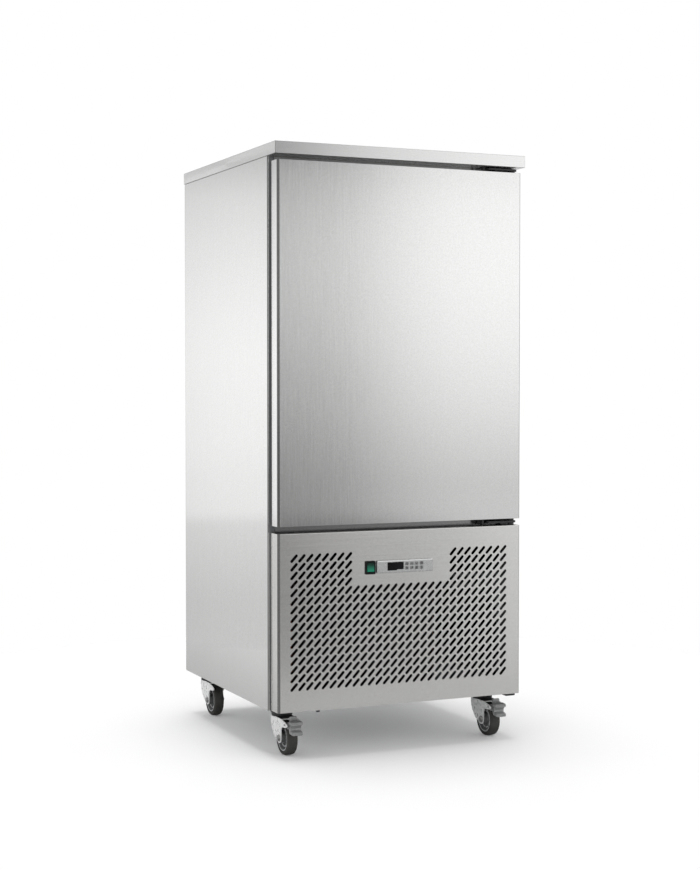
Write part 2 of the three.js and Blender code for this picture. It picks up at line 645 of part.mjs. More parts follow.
// Three arms carry the motor can behind a fan opening; its front end faces the fan's hub.
function motorCarrier(openingRadius, sheet, length) {
  let body = rod(MOTOR.radius, [0, length], 8);
  for (let arm = 0; arm < MOTOR.arms; arm += 1) {
    const bar = box([0, openingRadius + 8], [-MOTOR.arm / 2, MOTOR.arm / 2], [0, sheet])
      .rotate([0, 0, (360 / MOTOR.arms) * arm + 30]);
    body = join(body, bar);
  }
  return body;
}

function fanBaffle() {
  const z = [CHAMBER_BOTTOM + BAFFLE_END, CHAMBER_TOP - BAFFLE_END];
  const x = CHAMBER_X - FIT;
  let body = box([-x, x], [BAFFLE_Y, BAFFLE_Y + SKIN], z);
  const opening = FAN_RADIUS + FAN_GAP;
  for (const fanZ of FAN_Z) {
    const collar = alongY(rod(opening + SKIN, [-FAN_COLLAR, SKIN], 14));
    const hole = alongY(rod(opening, [-FAN_COLLAR - 1, SKIN + 1], 14));
    const carrier = alongY(motorCarrier(opening, 3, MOTOR.length));
    body = join(cut(join(body, place(collar, [0, BAFFLE_Y, fanZ])), place(hole, [0, BAFFLE_Y, fanZ])),
      place(carrier, [0, BAFFLE_Y + SKIN - 0.1, fanZ]));
  }
  return body;
}

const BLADES = 5;
const BLADE_PITCH = 22;             // degrees
const BLADE = { root: 14, tip: 27, sheet: 2 };

// Axial fan about +Y: hub with pitched blades, its hub's back face just off the motor.
function fan(radius) {
  let body = rod(FAN_HUB, [0, FAN_DEPTH], 10);
  const tip = radius - 6;
  const plan = outline([[FAN_HUB - 5, -BLADE.root], [tip, -BLADE.tip], [tip, BLADE.tip],
    [FAN_HUB - 5, BLADE.root]]);
  const sheet = prismZ(plan, [-BLADE.sheet / 2, BLADE.sheet / 2]).rotate([BLADE_PITCH, 0, 0]);
  for (let blade = 0; blade < BLADES; blade += 1) {
    body = join(body, place(sheet, [0, 0, FAN_DEPTH / 2]).rotate([0, 0, (360 / BLADES) * blade]));
  }
  return alongY(body);
}

const COIL_END = 83;                // coil from the chamber's floor and roof
const COIL = {
  x: [-CHAMBER_X + 62, CHAMBER_X - 62],
  y: [CHAMBER_BACK - 144, CHAMBER_BACK - 40],
  z: [CHAMBER_BOTTOM + COIL_END, CHAMBER_TOP - COIL_END],
  fins: 10,
  finDepth: 30,
  plate: 3,
};

// Finned block between two end plates that reach back to the wall that carries them.
function finnedCoil({ x, y, z, fins, plate, finDepth, back, foot }) {
  const [x0, x1] = x;
  const pitch = (x1 - x0) / fins;
  let body = box(x, inset(y, 3), inset(z, 4));
  for (let fin = 0; fin < fins; fin += 1) {
    const centre = x0 + (fin + 0.5) * pitch;
    body = cut(body, box([centre - pitch * 0.3, centre + pitch * 0.3], [y[0] - 1, y[0] + finDepth],
      [z[0] - 1, z[1] + 1]));
  }
  const ends = [[x0 - plate, x0 + 1], [x1 - 1, x1 + plate]]
    .map((span) => box(span, [y[0], back], [foot, z[1]]));
  return join(body, ...ends);
}

// ---------- machine compartment ----------

const CONDENSER = {
  x: [-COMPARTMENT_SIDE + 50, COMPARTMENT_SIDE - 190],
  y: [FRONT_Y + 51, FRONT_Y + 119],
  z: [BASE_Z + 30, PANEL_TOP - 138],
  fins: 12,
  finDepth: 14,
  plate: 3,
};
const SHROUD_DEPTH = 50;
const CONDENSER_FAN_RADIUS = 145;

function condenserShroud() {
  const [x0, x1] = CONDENSER.x;
  const front = CONDENSER.y[1] + FIT;
  const back = front + SHROUD_DEPTH;
  const centre = [(x0 + x1) / 2, (CONDENSER.z[0] + CONDENSER.z[1]) / 2];
  const opening = CONDENSER_FAN_RADIUS + FAN_GAP;
  const shell = cut(
    box([x0, x1], [front, back], [FLOOR_Z, CONDENSER.z[1]]),
    box([x0 + SKIN, x1 - SKIN], [front - 1, back - SKIN], [FLOOR_Z + SKIN, CONDENSER.z[1] - SKIN]),
    place(alongY(rod(opening, [-1, 2 * SKIN], 16)), [centre[0], back - SKIN, centre[1]]),
  );
  const carrier = alongY(motorCarrier(opening, 3, MOTOR.length));
  return join(shell, place(carrier, [centre[0], back - 0.1, centre[1]]));
}

const COMPRESSOR = { radius: 92, height: 190, foot: 120, sheet: 4 };
const COMPRESSOR_OFF_SIDE = 152;    // its centre from the cabinet's side and back
const COMPRESSOR_OFF_BACK = 210;

function compressor() {
  const { radius, height, foot, sheet } = COMPRESSOR;
  const can = turned([[0, 12], [radius * 0.72, 12], [radius, 34], [radius, height - 46],
    [radius * 0.8, height - 14], [radius * 0.36, height], [0, height]], 12);
  const seam = rod(radius + 4, [height * 0.45, height * 0.45 + 8], 12);
  let body = join(can, seam, box([-foot, foot], [-30, 30], [0, sheet]),
    box([-30, 30], [-foot, foot], [0, sheet]), box([-34, 34], [-34, 34], [sheet - 1, 14]));
  for (const [x, y] of [[-48, 66], [48, 60]]) {
    body = join(body, place(rod(7, [height - 70, height + 24], 6), [x, y, 0]));
  }
  return place(body, [SIDE_X - COMPRESSOR_OFF_SIDE, BACK_Y - COMPRESSOR_OFF_BACK, FLOOR_Z]);
}

// ---------- castors ----------

const SWIVEL_X = SIDE_X - 66;
const SWIVEL_FRONT = FRONT_Y + 60;
const SWIVEL_REAR = BACK_Y - 50;
const TRAIL = 38;
const WHEEL_RADIUS = 50;
const WHEEL_SIDES = 20;
const TYRE = { half: 15.5, bore: 38.3 };
const HUB_HALF = 21.2;
const AXLE_RADIUS = 6;
const FORK_SHEET = 2.5;
const FORK_INNER = 21.7;
const CROWN = { bottom: 104, top: 107 };
const RACE = { radius: 26.5, top: 121.7, skirt: 30, skirtBottom: 108.5 };
const RACE_SIDES = 10;
const CROWN_CORNER = 0.62;          // where the crown's round end meets its sides, in radians
const KINGPIN_RADIUS = 6;
const PLATE = { x: 50, y: 42.5, thickness: 3.5 };
const PEDAL = { pivotY: -45, pivotZ: 95, pin: 3, core: 16, tread: 20.5, tongue: 12 };

// Corner radius of a bore in which a rod of that radius and any number of sides turns freely.
function turningBore(radius, sides) {
  return (radius + FIT) / Math.cos(Math.PI / sides);
}

function castorPlate() {
  const top = CASTOR_HEIGHT - FIT;
  const bore = turningBore(RACE.radius, RACE_SIDES);
  const head = turned([[0, CROWN.bottom - 6], [9, CROWN.bottom - 6], [9, CROWN.bottom - FIT],
    [KINGPIN_RADIUS, CROWN.bottom - FIT], [KINGPIN_RADIUS, RACE.top + FIT],
    [bore, RACE.top + FIT], [bore, RACE.skirtBottom],
    [RACE.skirt, RACE.skirtBottom], [RACE.skirt, top - 1], [0, top - 1]], RACE_SIDES);
  return join(head, box([-PLATE.x, PLATE.x], [-PLATE.y, PLATE.y], [top - PLATE.thickness, top]));
}

// Side view of a fork leg, in Y and Z about the axle: a wing forward, and a long flare back up to
// the crown. The foot round the axle joins its ends.
const FORK_TOP = CROWN.top - WHEEL_RADIUS;
const FORK_FOOT = 15;
const FORK_WING = [[-17, FORK_TOP], [-46, FORK_TOP - 5], [-61, FORK_TOP - 12], [-54, FORK_TOP - 18],
  [-24, FORK_TOP - 22], [-16, FORK_TOP - 25], [-14, FORK_TOP - 32]];
const FORK_FLARE = [[36, 3], [52, 24], [62, 47], [60, FORK_TOP]];

function forkLeg() {
  const leg = outline(FORK_WING);
  leg.lineTo(-FORK_FOOT, 0);
  leg.absarc(0, 0, FORK_FOOT, Math.PI, 1.75 * Math.PI);
  FORK_FLARE.forEach(([y, z]) => leg.lineTo(y, z));
  return leg;
}

function castorFork(braked) {
  const outer = FORK_INNER + FORK_SHEET;
  const legs = [[-outer, -FORK_INNER], [FORK_INNER, outer]].map((span) => place(
    prismX(forkLeg(), span, 2), [0, -TRAIL, WHEEL_RADIUS]));
  const crown = new THREE.Shape();
  crown.moveTo(-outer, -TRAIL - 17);
  crown.lineTo(outer, -TRAIL - 17);
  crown.absarc(0, 0, RACE.skirt, -CROWN_CORNER, Math.PI + CROWN_CORNER);
  const race = rod(RACE.radius, [CROWN.top - 1, RACE.top], RACE_SIDES);
  const body = join(prismZ(crown, [CROWN.bottom, CROWN.top], 4), race, ...legs);
  const axleHole = place(alongX(rod(AXLE_RADIUS + FIT, [-outer - 1, outer + 1], 8)),
    [0, -TRAIL, WHEEL_RADIUS]);
  const pedalHole = place(alongX(rod(PEDAL.pin + FIT, [-outer - 1, outer + 1], 8)),
    [0, -TRAIL + PEDAL.pivotY, PEDAL.pivotZ]);
  const kingpinHole = rod(turningBore(KINGPIN_RADIUS, RACE_SIDES), [CROWN.bottom - 1, RACE.top + 1],
    RACE_SIDES);
  return cut(body, axleHole, kingpinHole, ...(braked ? [pedalHole] : []));
}

// Tyre with rounded shoulders; its flats touch the circle of the wheel, so one rests on the floor.
function tyre() {
  const round = 1 / Math.cos(Math.PI / WHEEL_SIDES);
  const { half, bore } = TYRE;
  const ring = turned([[bore, -half + 1], [bore, half - 1], [WHEEL_RADIUS - 5, half],
    [WHEEL_RADIUS * round, half - 6], [WHEEL_RADIUS * round, -half + 6],
    [WHEEL_RADIUS - 5, -half]].reverse(), WHEEL_SIDES).rotate([0, 0, 180 / WHEEL_SIDES]);
  return place(alongX(ring), [0, -TRAIL, WHEEL_RADIUS]);
}

function hub() {
  const rim = TYRE.bore * Math.cos(Math.PI / WHEEL_SIDES) - FIT;
  const profile = [[AXLE_RADIUS + FIT, -HUB_HALF], [13, -HUB_HALF], [15, -7], [rim - 5, -7],
    [rim, -13], [rim, 13], [rim - 5, 7], [15, 7], [13, HUB_HALF], [AXLE_RADIUS + FIT, HUB_HALF]];
  return place(alongX(turned(profile, 12)), [0, -TRAIL, WHEEL_RADIUS]);
}

function axle() {
  const outer = FORK_INNER + FORK_SHEET;
  const body = join(rod(AXLE_RADIUS, [-outer - 3, outer + 7], 8),
    rod(10, [-outer - 5, -outer - FIT], 6), rod(10, [outer + FIT, outer + 5], 6));
  return place(alongX(body), [0, -TRAIL, WHEEL_RADIUS]);
}

// Side views of the brake pedal's parts, in Y about the axle and Z from the floor: the lever with
// the shoe above the tyre, two treads forward of the fork, and the release tongue.
const PEDAL_LEVER = [[-54, 84], [-60, 72], [-68, 72], [-66, 88], [-70, 96], [-64, 104], [-52, 104],
  [-40, 101], [-37, 90], [-42, 82]];
const PEDAL_UPPER = [[-62, 97], [-62, 108], [-79, 105], [-80, 98]];
const PEDAL_LOWER = [[-63, 72], [-66, 83], [-83, 77], [-84, 70]];
const PEDAL_TONGUE = [[-43, 100], [-46, 119], [-52, 119], [-50, 100]];

function brakePedal() {
  const { pivotY, pivotZ, pin, core, tread, tongue } = PEDAL;
  const body = join(prismX(outline(PEDAL_LEVER), [-core, core]),
    prismX(outline(PEDAL_UPPER), [-tread, tread]),
    prismX(outline(PEDAL_LOWER), [-tread + 1, tread - 1]),
    prismX(outline(PEDAL_TONGUE), [-tongue, tongue]),
    place(alongX(rod(pin, [-FORK_INNER - FORK_SHEET - 2, FORK_INNER + FORK_SHEET + 2], 8)),
      [0, pivotY, pivotZ]));
  return place(body, [0, -TRAIL, 0]);
}

// ---------- assembly ----------

piece('top_slab', worktop(), stainless);
piece('left_side_panel', sidePanel(-1), stainless);
piece('right_side_panel', sidePanel(1), stainless);
piece('rear_panel', rearPanel(), stainless);
piece('base_pan', basePan(), galvanised);
piece('front_frame', frontFrame(), stainless);
piece('inner_liner', innerLiner(), stainlessInside);
piece('insulation_foam', insulation(), foam);

piece('hinge_bracket_top', topHinge(), blackSteel);
piece('hinge_bracket_middle', middleHinge(), blackSteel);
piece('hinge_bracket_foot', footHinge(), blackSteel);

piece('door_skin', doorSkin(), stainless);
piece('door_foam', doorFoam(), foam);
piece('door_liner', doorLiner(), stainlessInside);
piece('door_seal', doorSeal(), sealRubber);

piece('service_panel', servicePanel(), stainless);
piece('switch_housing', switchHousing(), blackPlastic);
piece('switch_rocker', rocker(), greenLens);
piece('controller_housing', controllerHousing(), silverPlastic);
piece('display_window',
  prismY(displayShape(0), [CONTROL_FRONT - DISPLAY.proud, CONTROL_FRONT + DISPLAY.depth]),
  smokedLens);
for (let row = 0; row < KEY_ROWS; row += 1) {
  for (let column = 0; column < KEY_COLUMNS; column += 1) {
    const depth = [CONTROL_FRONT - KEY.proud, CONTROL_FRONT + KEY.depth - FIT];
    piece(`key_${row * KEY_COLUMNS + column + 1}`, keyBlock(column, row, 0, depth), keyPlastic);
  }
}

piece('tray_rack_left', trayRack(-1), stainlessInside);
piece('tray_rack_right', trayRack(1), stainlessInside);
piece('fan_baffle', fanBaffle(), stainlessInside);
['lower', 'upper'].forEach((name, index) => {
  piece(`evaporator_fan_${name}`, place(fan(FAN_RADIUS), [0, BAFFLE_Y + SKIN - 0.1 - FIT - FAN_DEPTH,
    FAN_Z[index]]), blackPlastic);
});
piece('evaporator_coil', finnedCoil({ ...COIL, back: CHAMBER_BACK - FIT, foot: COIL.z[0] }),
  aluminiumFin);

piece('condenser_coil', finnedCoil({ ...CONDENSER, back: CONDENSER.y[1], foot: FLOOR_Z }), aluminiumFin);
piece('condenser_shroud', condenserShroud(), galvanised);
const shroudBack = CONDENSER.y[1] + FIT + SHROUD_DEPTH;
piece('condenser_fan', place(fan(CONDENSER_FAN_RADIUS), [
  (CONDENSER.x[0] + CONDENSER.x[1]) / 2, shroudBack - 0.1 - FIT - FAN_DEPTH,
  (CONDENSER.z[0] + CONDENSER.z[1]) / 2]), blackPlastic);
piece('compressor', compressor(), compressorPaint);

const corners = [
  ['front_left', -SWIVEL_X, SWIVEL_FRONT, true],
  ['front_right', SWIVEL_X, SWIVEL_FRONT, true],
  ['rear_left', -SWIVEL_X, SWIVEL_REAR, false],
  ['rear_right', SWIVEL_X, SWIVEL_REAR, false],
];
for (const [corner, x, y, braked] of corners) {
  const castor = new THREE.Group();
  castor.position.set(x, y, 0);
  unit.add(castor);
  piece(`castor_plate_${corner}`, castorPlate(), blackSteel, castor);
  piece(`castor_fork_${corner}`, castorFork(braked), zinc, castor);
  piece(`castor_tyre_${corner}`, tyre(), tyreRubber, castor);
  piece(`castor_hub_${corner}`, hub(), greyPlastic, castor);
  piece(`castor_axle_${corner}`, axle(), zinc, castor);
  if (braked) piece(`brake_pedal_${corner}`, brakePedal(), zinc, castor);
}

export default unit;
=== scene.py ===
import math

import bmesh
import bpy
import numpy as np
from mathutils.geometry import delaunay_2d_cdt
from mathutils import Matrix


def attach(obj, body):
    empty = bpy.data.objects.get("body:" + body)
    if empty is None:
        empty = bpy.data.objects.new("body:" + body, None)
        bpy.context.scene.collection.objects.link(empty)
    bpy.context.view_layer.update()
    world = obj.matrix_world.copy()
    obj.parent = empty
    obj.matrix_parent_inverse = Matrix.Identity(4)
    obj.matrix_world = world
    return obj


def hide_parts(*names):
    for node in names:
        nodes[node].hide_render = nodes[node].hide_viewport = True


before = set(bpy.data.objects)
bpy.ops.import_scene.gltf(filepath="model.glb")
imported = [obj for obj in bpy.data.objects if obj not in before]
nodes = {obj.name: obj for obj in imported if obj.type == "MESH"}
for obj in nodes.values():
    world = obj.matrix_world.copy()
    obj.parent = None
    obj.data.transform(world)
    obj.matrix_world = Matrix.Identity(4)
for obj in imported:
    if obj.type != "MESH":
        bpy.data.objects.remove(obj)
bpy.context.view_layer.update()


# ---------- studio ----------
# Seamless pale floor in a white room. The camera sees plain white. Metal sees a studio that is
# brightest at eye level behind the cabinet and to its right, and greyer ahead and below.

CAMERA_PLACE = (-2.06443, -4.66154, 1.05603)
CAMERA_TURN = -23.97189             # degrees round from straight ahead
CAMERA_DROP = 1.747408              # degrees below level
SENSOR_WIDTH = 36                   # millimetres
FOCAL_PIXELS = 1653
FRAME_PIXELS = 869                  # long side of the photograph
FLOOR_RADIUS = 1.9
FLOOR_SHADE = 0.86
FLOOR_LIFT = 0.085                  # glow that brings the open floor to white
FLOOR_MIRRORED = (0.62, 0.45)       # the floor's shade in metal, at its left and under the object
SKY_LOW, SKY_HIGH = 1.7, 0.45       # what lights matt surfaces, near the horizon and overhead
OVERHEAD = 1.15                     # the softbox above, as metal mirrors it
SUN = 1.0
SUN_WIDTH = 24                      # degrees
SUN_LEAN = (-4, -1, 0)              # degrees
WHITE = (1, 1, 1, 1)


def add(tree, kind, links=(), **settings):
    """A shader node. Settings fill its properties or its sockets; links feed its sockets."""
    node = tree.nodes.new("ShaderNode" + kind)
    for key, value in settings.items():
        if key in node.bl_rna.properties:
            setattr(node, key, value)
    for key, value in settings.items():
        if key not in node.bl_rna.properties:
            socket_named(node.inputs, key).default_value = value
    for key, source in dict(links).items():
        tree.links.new(source, socket_named(node.inputs, key))
    return node


def socket_named(sockets, key):
    """The socket with that number, or with that name, where in2 is the third."""
    if isinstance(key, int):
        return sockets[key]
    if key[:2] == "in" and key[2:].isdigit():
        return sockets[int(key[2:])]
    return next(s for s in sockets if s.name == key.replace("_", " "))


def maths(tree, operation, first, second=0.0, third=0.0):
    """One Math node's result, whose inputs are numbers or sockets."""
    node = add(tree, "Math", operation=operation)
    for socket, value in zip(node.inputs, (first, second, third)):
        if isinstance(value, (int, float)):
            socket.default_value = value
        else:
            tree.links.new(value, socket)
    return node.outputs[0]


def ramp(tree, source, stops):
    """Values between the stops, given as (position, value or colour) pairs."""
    node = add(tree, "ValToRGB", {0: source})
    elements = node.color_ramp.elements
    while len(elements) < len(stops):
        elements.new(0.5)
    for element, (position, value) in zip(elements, stops):
        element.position = position
        element.color = (*value, 1) if isinstance(value, tuple) else (value, value, value, 1)
    return node.outputs["Color"]


def blended(tree, share, low, high):
    """Mixes two numbers or sockets by a share from 0 to 1."""
    node = add(tree, "Mix", {0: share}, data_type="FLOAT")
    for socket, value in ((node.inputs[2], low), (node.inputs[3], high)):
        if isinstance(value, (int, float)):
            socket.default_value = value
        else:
            tree.links.new(value, socket)
    return node.outputs[0]


def scaled(tree, source, low, high, start=0.0, stop=1.0):
    """Start where the source is at low, stop where it is at high, and even between."""
    return add(tree, "MapRange", {"Value": source}, From_Min=low, From_Max=high, To_Min=start,
               To_Max=stop).outputs[0]


def stood(name, data):
    """A new object in the scene, at the origin."""
    made = bpy.data.objects.new(name, data)
    bpy.context.scene.collection.objects.link(made)
    return made


def studio_camera():
    """The photograph's viewpoint: its place, turn and drop, and its focal length in pixels."""
    camera = bpy.data.cameras.new("photo_camera")
    camera.sensor_width = SENSOR_WIDTH
    camera.lens = camera.sensor_width * FOCAL_PIXELS / FRAME_PIXELS
    camera.clip_end = 60
    placed = stood("photo_camera", camera)
    placed.location = CAMERA_PLACE
    placed.rotation_euler = (math.radians(90 - CAMERA_DROP), 0, math.radians(CAMERA_TURN))
    bpy.context.scene.camera = placed


def studio_sun():
    """A wide soft lamp overhead, whose shadow falls just behind the object and to its right."""
    sun = bpy.data.lights.new("overhead_softbox", "SUN")
    sun.energy = SUN
    sun.angle = math.radians(SUN_WIDTH)
    stood("overhead_softbox", sun).rotation_euler = [math.radians(lean) for lean in SUN_LEAN]


# Brightness by height of the way looked, from 15 degrees below level to 20 above.
BEHIND = [(0.0, 0.60), (0.16, 0.64), (0.20, 0.64), (0.24, 0.70), (0.2805, 0.765), (0.2825, 0.90),
          (0.32, 0.93), (0.36, 0.98), (0.40, 1.0), (0.441, 1.02), (0.481, 0.995), (0.521, 0.95),
          (0.562, 0.885), (0.602, 0.80), (0.64, 0.60), (0.72, 0.45), (1.0, 0.40)]
AHEAD_LEFT = [(0.0, 0.36), (0.11, 0.385), (0.20, 0.25), (0.279, 0.22), (0.2825, 0.275), (0.315, 0.285),
              (0.35, 0.342), (0.385, 0.40), (0.421, 0.445), (0.456, 0.51), (0.491, 0.56), (0.526, 0.59),
              (0.562, 0.59), (0.597, 0.53), (0.631, 0.43), (0.66, 0.19), (0.72, 0.08), (1.0, 0.05)]
AHEAD_RIGHT = [(0.0, 0.50), (0.11, 0.55), (0.26, 0.70), (0.279, 0.62), (0.2825, 0.665), (0.315, 0.65),
               (0.35, 0.74), (0.385, 0.84), (0.421, 0.925), (0.456, 0.99), (0.491, 1.03), (0.526, 1.06),
               (0.562, 1.06), (0.597, 1.05), (0.631, 0.96), (0.66, 1.0), (1.0, 0.9)]
LOW_BAND = [(0.11, 0.0), (0.20, 1.0), (0.279, 1.0), (0.2825, 0.0)]
# Shares by how far to the right the way looked turns, from full left to full right. The first one
# passes from the left ramp to the right one, and the others take light away.
AHEAD_SHARE = [(0.0, 0.6), (0.40, 0.8), (0.52, 0.75), (0.56, 0.3), (0.60, 0.0), (0.682, 0.0), (0.691, 0.30),
               (0.700, 0.545), (0.708, 0.67), (0.717, 0.74), (0.725, 0.79), (0.733, 0.87), (0.741, 0.957),
               (0.7455, 1.0)]
AHEAD_FLAG = [(0.0, 0.9), (0.10, 0.9), (0.20, 0.85), (0.36, 0.85), (0.42, 0.95), (0.54, 0.95), (0.575, 0.45),
              (0.60, 0.6), (0.63, 1.0), (0.84, 1.0), (0.88, 0.68), (0.95, 0.68), (1.0, 0.8)]
LOW_TAKEN = [(0.60, 0.0), (0.66, 0.36), (0.684, 0.36), (0.691, 0.46), (0.717, 0.48), (0.73, 0.28),
             (0.7455, 0.0)]
BEHIND_SHARE = [(0.0, 1.0), (0.28, 0.99), (0.315, 0.965), (0.345, 0.89), (0.42, 0.88), (1.0, 0.9)]


def studio_world():
    """White to the camera and through glass, the ramps above to metal, and a sky to matt surfaces."""
    world = bpy.data.worlds.new("studio")
    world.use_nodes = True
    bpy.context.scene.world = world
    tree = world.node_tree
    tree.nodes.clear()
    way = add(tree, "SeparateXYZ", {0: add(tree, "TexCoord").outputs["Generated"]}).outputs
    height = scaled(tree, way["Z"], -0.25, 0.35)
    right = scaled(tree, way["X"], -1.0, 1.0)
    back = scaled(tree, way["Y"], -0.35, 0.35)
    ahead = blended(tree, ramp(tree, right, AHEAD_SHARE), ramp(tree, height, AHEAD_LEFT),
                    ramp(tree, height, AHEAD_RIGHT))
    ahead = maths(tree, "MULTIPLY", ahead, ramp(tree, right, AHEAD_FLAG))
    taken = maths(tree, "MULTIPLY", ramp(tree, height, LOW_BAND), ramp(tree, right, LOW_TAKEN))
    ahead = maths(tree, "MULTIPLY", ahead, maths(tree, "SUBTRACT", 1.0, taken))
    behind = maths(tree, "MULTIPLY", ramp(tree, height, BEHIND), ramp(tree, right, BEHIND_SHARE))
    overhead = scaled(tree, way["Z"], 0.45, 0.75)
    room = blended(tree, overhead, blended(tree, back, ahead, behind), OVERHEAD)
    path = add(tree, "LightPath").outputs
    sky = scaled(tree, way["Z"], 0.35, 0.7, SKY_LOW, SKY_HIGH)
    seen = blended(tree, path["Is Glossy Ray"], sky, room)
    clear = maths(tree, "MAXIMUM", path["Is Camera Ray"], path["Is Transmission Ray"])
    background = add(tree, "Background", {"Strength": blended(tree, clear, seen, 1.0)}, Color=WHITE)
    tree.links.new(background.outputs[0], add(tree, "OutputWorld").inputs["Surface"])


def studio_floor():
    """A round matt floor, lifted to white for the camera, so that only the object's shadow shows."""
    around = np.linspace(0, 2 * np.pi, 96, endpoint=False)
    rim = np.c_[FLOOR_RADIUS * np.cos(around), FLOOR_RADIUS * np.sin(around), 0 * around]
    mesh = bpy.data.meshes.new("studio_floor")
    mesh.from_pydata(rim.tolist(), [], [list(range(len(rim)))])
    material = bpy.data.materials.new("floor_paint")
    material.use_nodes = True
    tree = material.node_tree
    tree.nodes.clear()
    path = add(tree, "LightPath").outputs
    place = add(tree, "SeparateXYZ", {0: add(tree, "TexCoord").outputs["Object"]}).outputs
    mirrored = scaled(tree, place["X"], -1.3, -0.5, *FLOOR_MIRRORED)
    shade = blended(tree, path["Is Glossy Ray"], FLOOR_SHADE, mirrored)
    matt = add(tree, "BsdfDiffuse", {"Color": shade})
    clear = maths(tree, "MAXIMUM", path["Is Camera Ray"], path["Is Transmission Ray"])
    glow = add(tree, "Emission", {"Strength": maths(tree, "MULTIPLY", clear, FLOOR_LIFT)}, Color=WHITE)
    both = add(tree, "AddShader", {0: matt.outputs[0], 1: glow.outputs[0]})
    tree.links.new(both.outputs[0], add(tree, "OutputMaterial").inputs["Surface"])
    mesh.materials.append(material)
    stood("studio_floor", mesh)


bpy.context.scene.view_settings.view_transform = "Standard"
studio_camera()
studio_sun()
studio_world()
studio_floor()


# ---------- castors ----------
# Four swivel castors with 100 mm wheels: zinc-plated pressed forks on a black ball race and plate,
# grey wheel centres, dark grey rubber tyres, and a zinc brake pedal on the front two.

SWIVEL_X = 0.326
SWIVEL_FRONT = -0.271
SWIVEL_REAR = 0.350
TRAIL = 0.038
WHEEL_RADIUS = 0.050
TYRE_HALF = 0.0155
TYRE_BORE = 0.0383
FORK_OUTER = 0.0242
CORNERS = {
    "front_left": (-SWIVEL_X, SWIVEL_FRONT),
    "front_right": (SWIVEL_X, SWIVEL_FRONT),
    "rear_left": (-SWIVEL_X, SWIVEL_REAR),
    "rear_right": (SWIVEL_X, SWIVEL_REAR),
}
MM = 0.001
AXES = {"X": (1, 2, 0), "Y": (0, 2, 1), "Z": (0, 1, 2)}


def grid_quads(rows, columns, wrap_rows=False, wrap_columns=False):
    """Four-cornered faces between neighbours of a grid of points numbered row by row."""
    r, c = np.meshgrid(np.arange(rows if wrap_rows else rows - 1),
                       np.arange(columns if wrap_columns else columns - 1), indexing="ij")
    r_next, c_next = (r + 1) % rows, (c + 1) % columns
    corners = (r * columns + c, r * columns + c_next, r_next * columns + c_next, r_next * columns + c)
    return np.stack(corners, -1).reshape(-1, 4)


def aimed(points, axis, centre=(0, 0, 0)):
    """Points drawn about +Z, turned so that Z lies along the axis, and moved to the centre."""
    return points[:, np.argsort(AXES[axis])] + np.asarray(centre)


def turned(profile, centre, axis="Z", steps=32):
    """A profile of (radius, height) swept round: (r cos t, r sin t, h). Ends on the axis are closed."""
    profile = np.asarray(profile, float)
    around = np.linspace(0, 2 * np.pi, steps, endpoint=False)
    r, h = profile[:, 0], profile[:, 1]
    points = np.stack([np.outer(np.cos(around), r), np.outer(np.sin(around), r),
                       np.broadcast_to(h, (steps, len(h)))], -1).reshape(-1, 3)
    closed = not (r[0] == 0 and r[-1] == 0)
    return aimed(points, axis, centre), grid_quads(steps, len(profile), True, closed).tolist()


def prism(outline, low, high, axis="Z"):
    """An outline carried from low to high along the axis, with both ends closed."""
    outline = np.asarray(outline, float)
    count = len(outline)
    ends = [np.c_[outline, np.full(count, level)] for level in (low, high)]
    faces = grid_quads(2, count, False, True).tolist()
    faces += [list(range(count))[::-1], list(range(count, 2 * count))]
    return aimed(np.concatenate(ends), axis), faces


def block(x, y, z):
    """A plain rectangular bar between the given ends."""
    return prism([(x[0], y[0]), (x[1], y[0]), (x[1], y[1]), (x[0], y[1])], z[0], z[1])


def rounded(u, v, radius, steps=5):
    """A rectangle's outline with quarter-circle corners."""
    turn = np.linspace(0, np.pi / 2, steps)
    corners = []
    for k, (cu, cv) in enumerate([(u[1], v[1]), (u[0], v[1]), (u[0], v[0]), (u[1], v[0])]):
        angle = turn + k * np.pi / 2
        centre = np.array([cu, cv]) - radius * np.sign([cu - np.mean(u), cv - np.mean(v)])
        corners.append(centre + radius * np.c_[np.cos(angle), np.sin(angle)])
    return np.concatenate(corners)


def rounded_within(u, v, margin, radius, steps=5):
    """The outline of a rectangle set in from another one on all sides."""
    return rounded((u[0] + margin, u[1] - margin), (v[0] + margin, v[1] - margin), radius, steps)


def tube(path, radius, steps):
    """A circle carried along a path, square to it, with closed ends."""
    path = np.asarray(path, float)
    run = np.gradient(path, axis=0)
    run /= np.linalg.norm(run, axis=1)[:, None]
    side = np.cross(run[0], [0.31, 0.57, 0.76])
    sides = []
    for way in run:
        side = side - way * (side @ way)
        side /= np.linalg.norm(side)
        sides.append(side)
    sides = np.array(sides)
    ups = np.cross(run, sides)
    around = np.linspace(0, 2 * np.pi, steps, endpoint=False)
    rings = (path[:, None] + radius * (np.cos(around)[None, :, None] * sides[:, None]
                                       + np.sin(around)[None, :, None] * ups[:, None]))
    faces = grid_quads(len(path), steps, False, True).tolist()
    last = (len(path) - 1) * steps
    faces += [list(range(steps))[::-1], [last + k for k in range(steps)]]
    return rings.reshape(-1, 3), faces


SMOOTH = 38                         # degrees: edges that turn further stay crisp


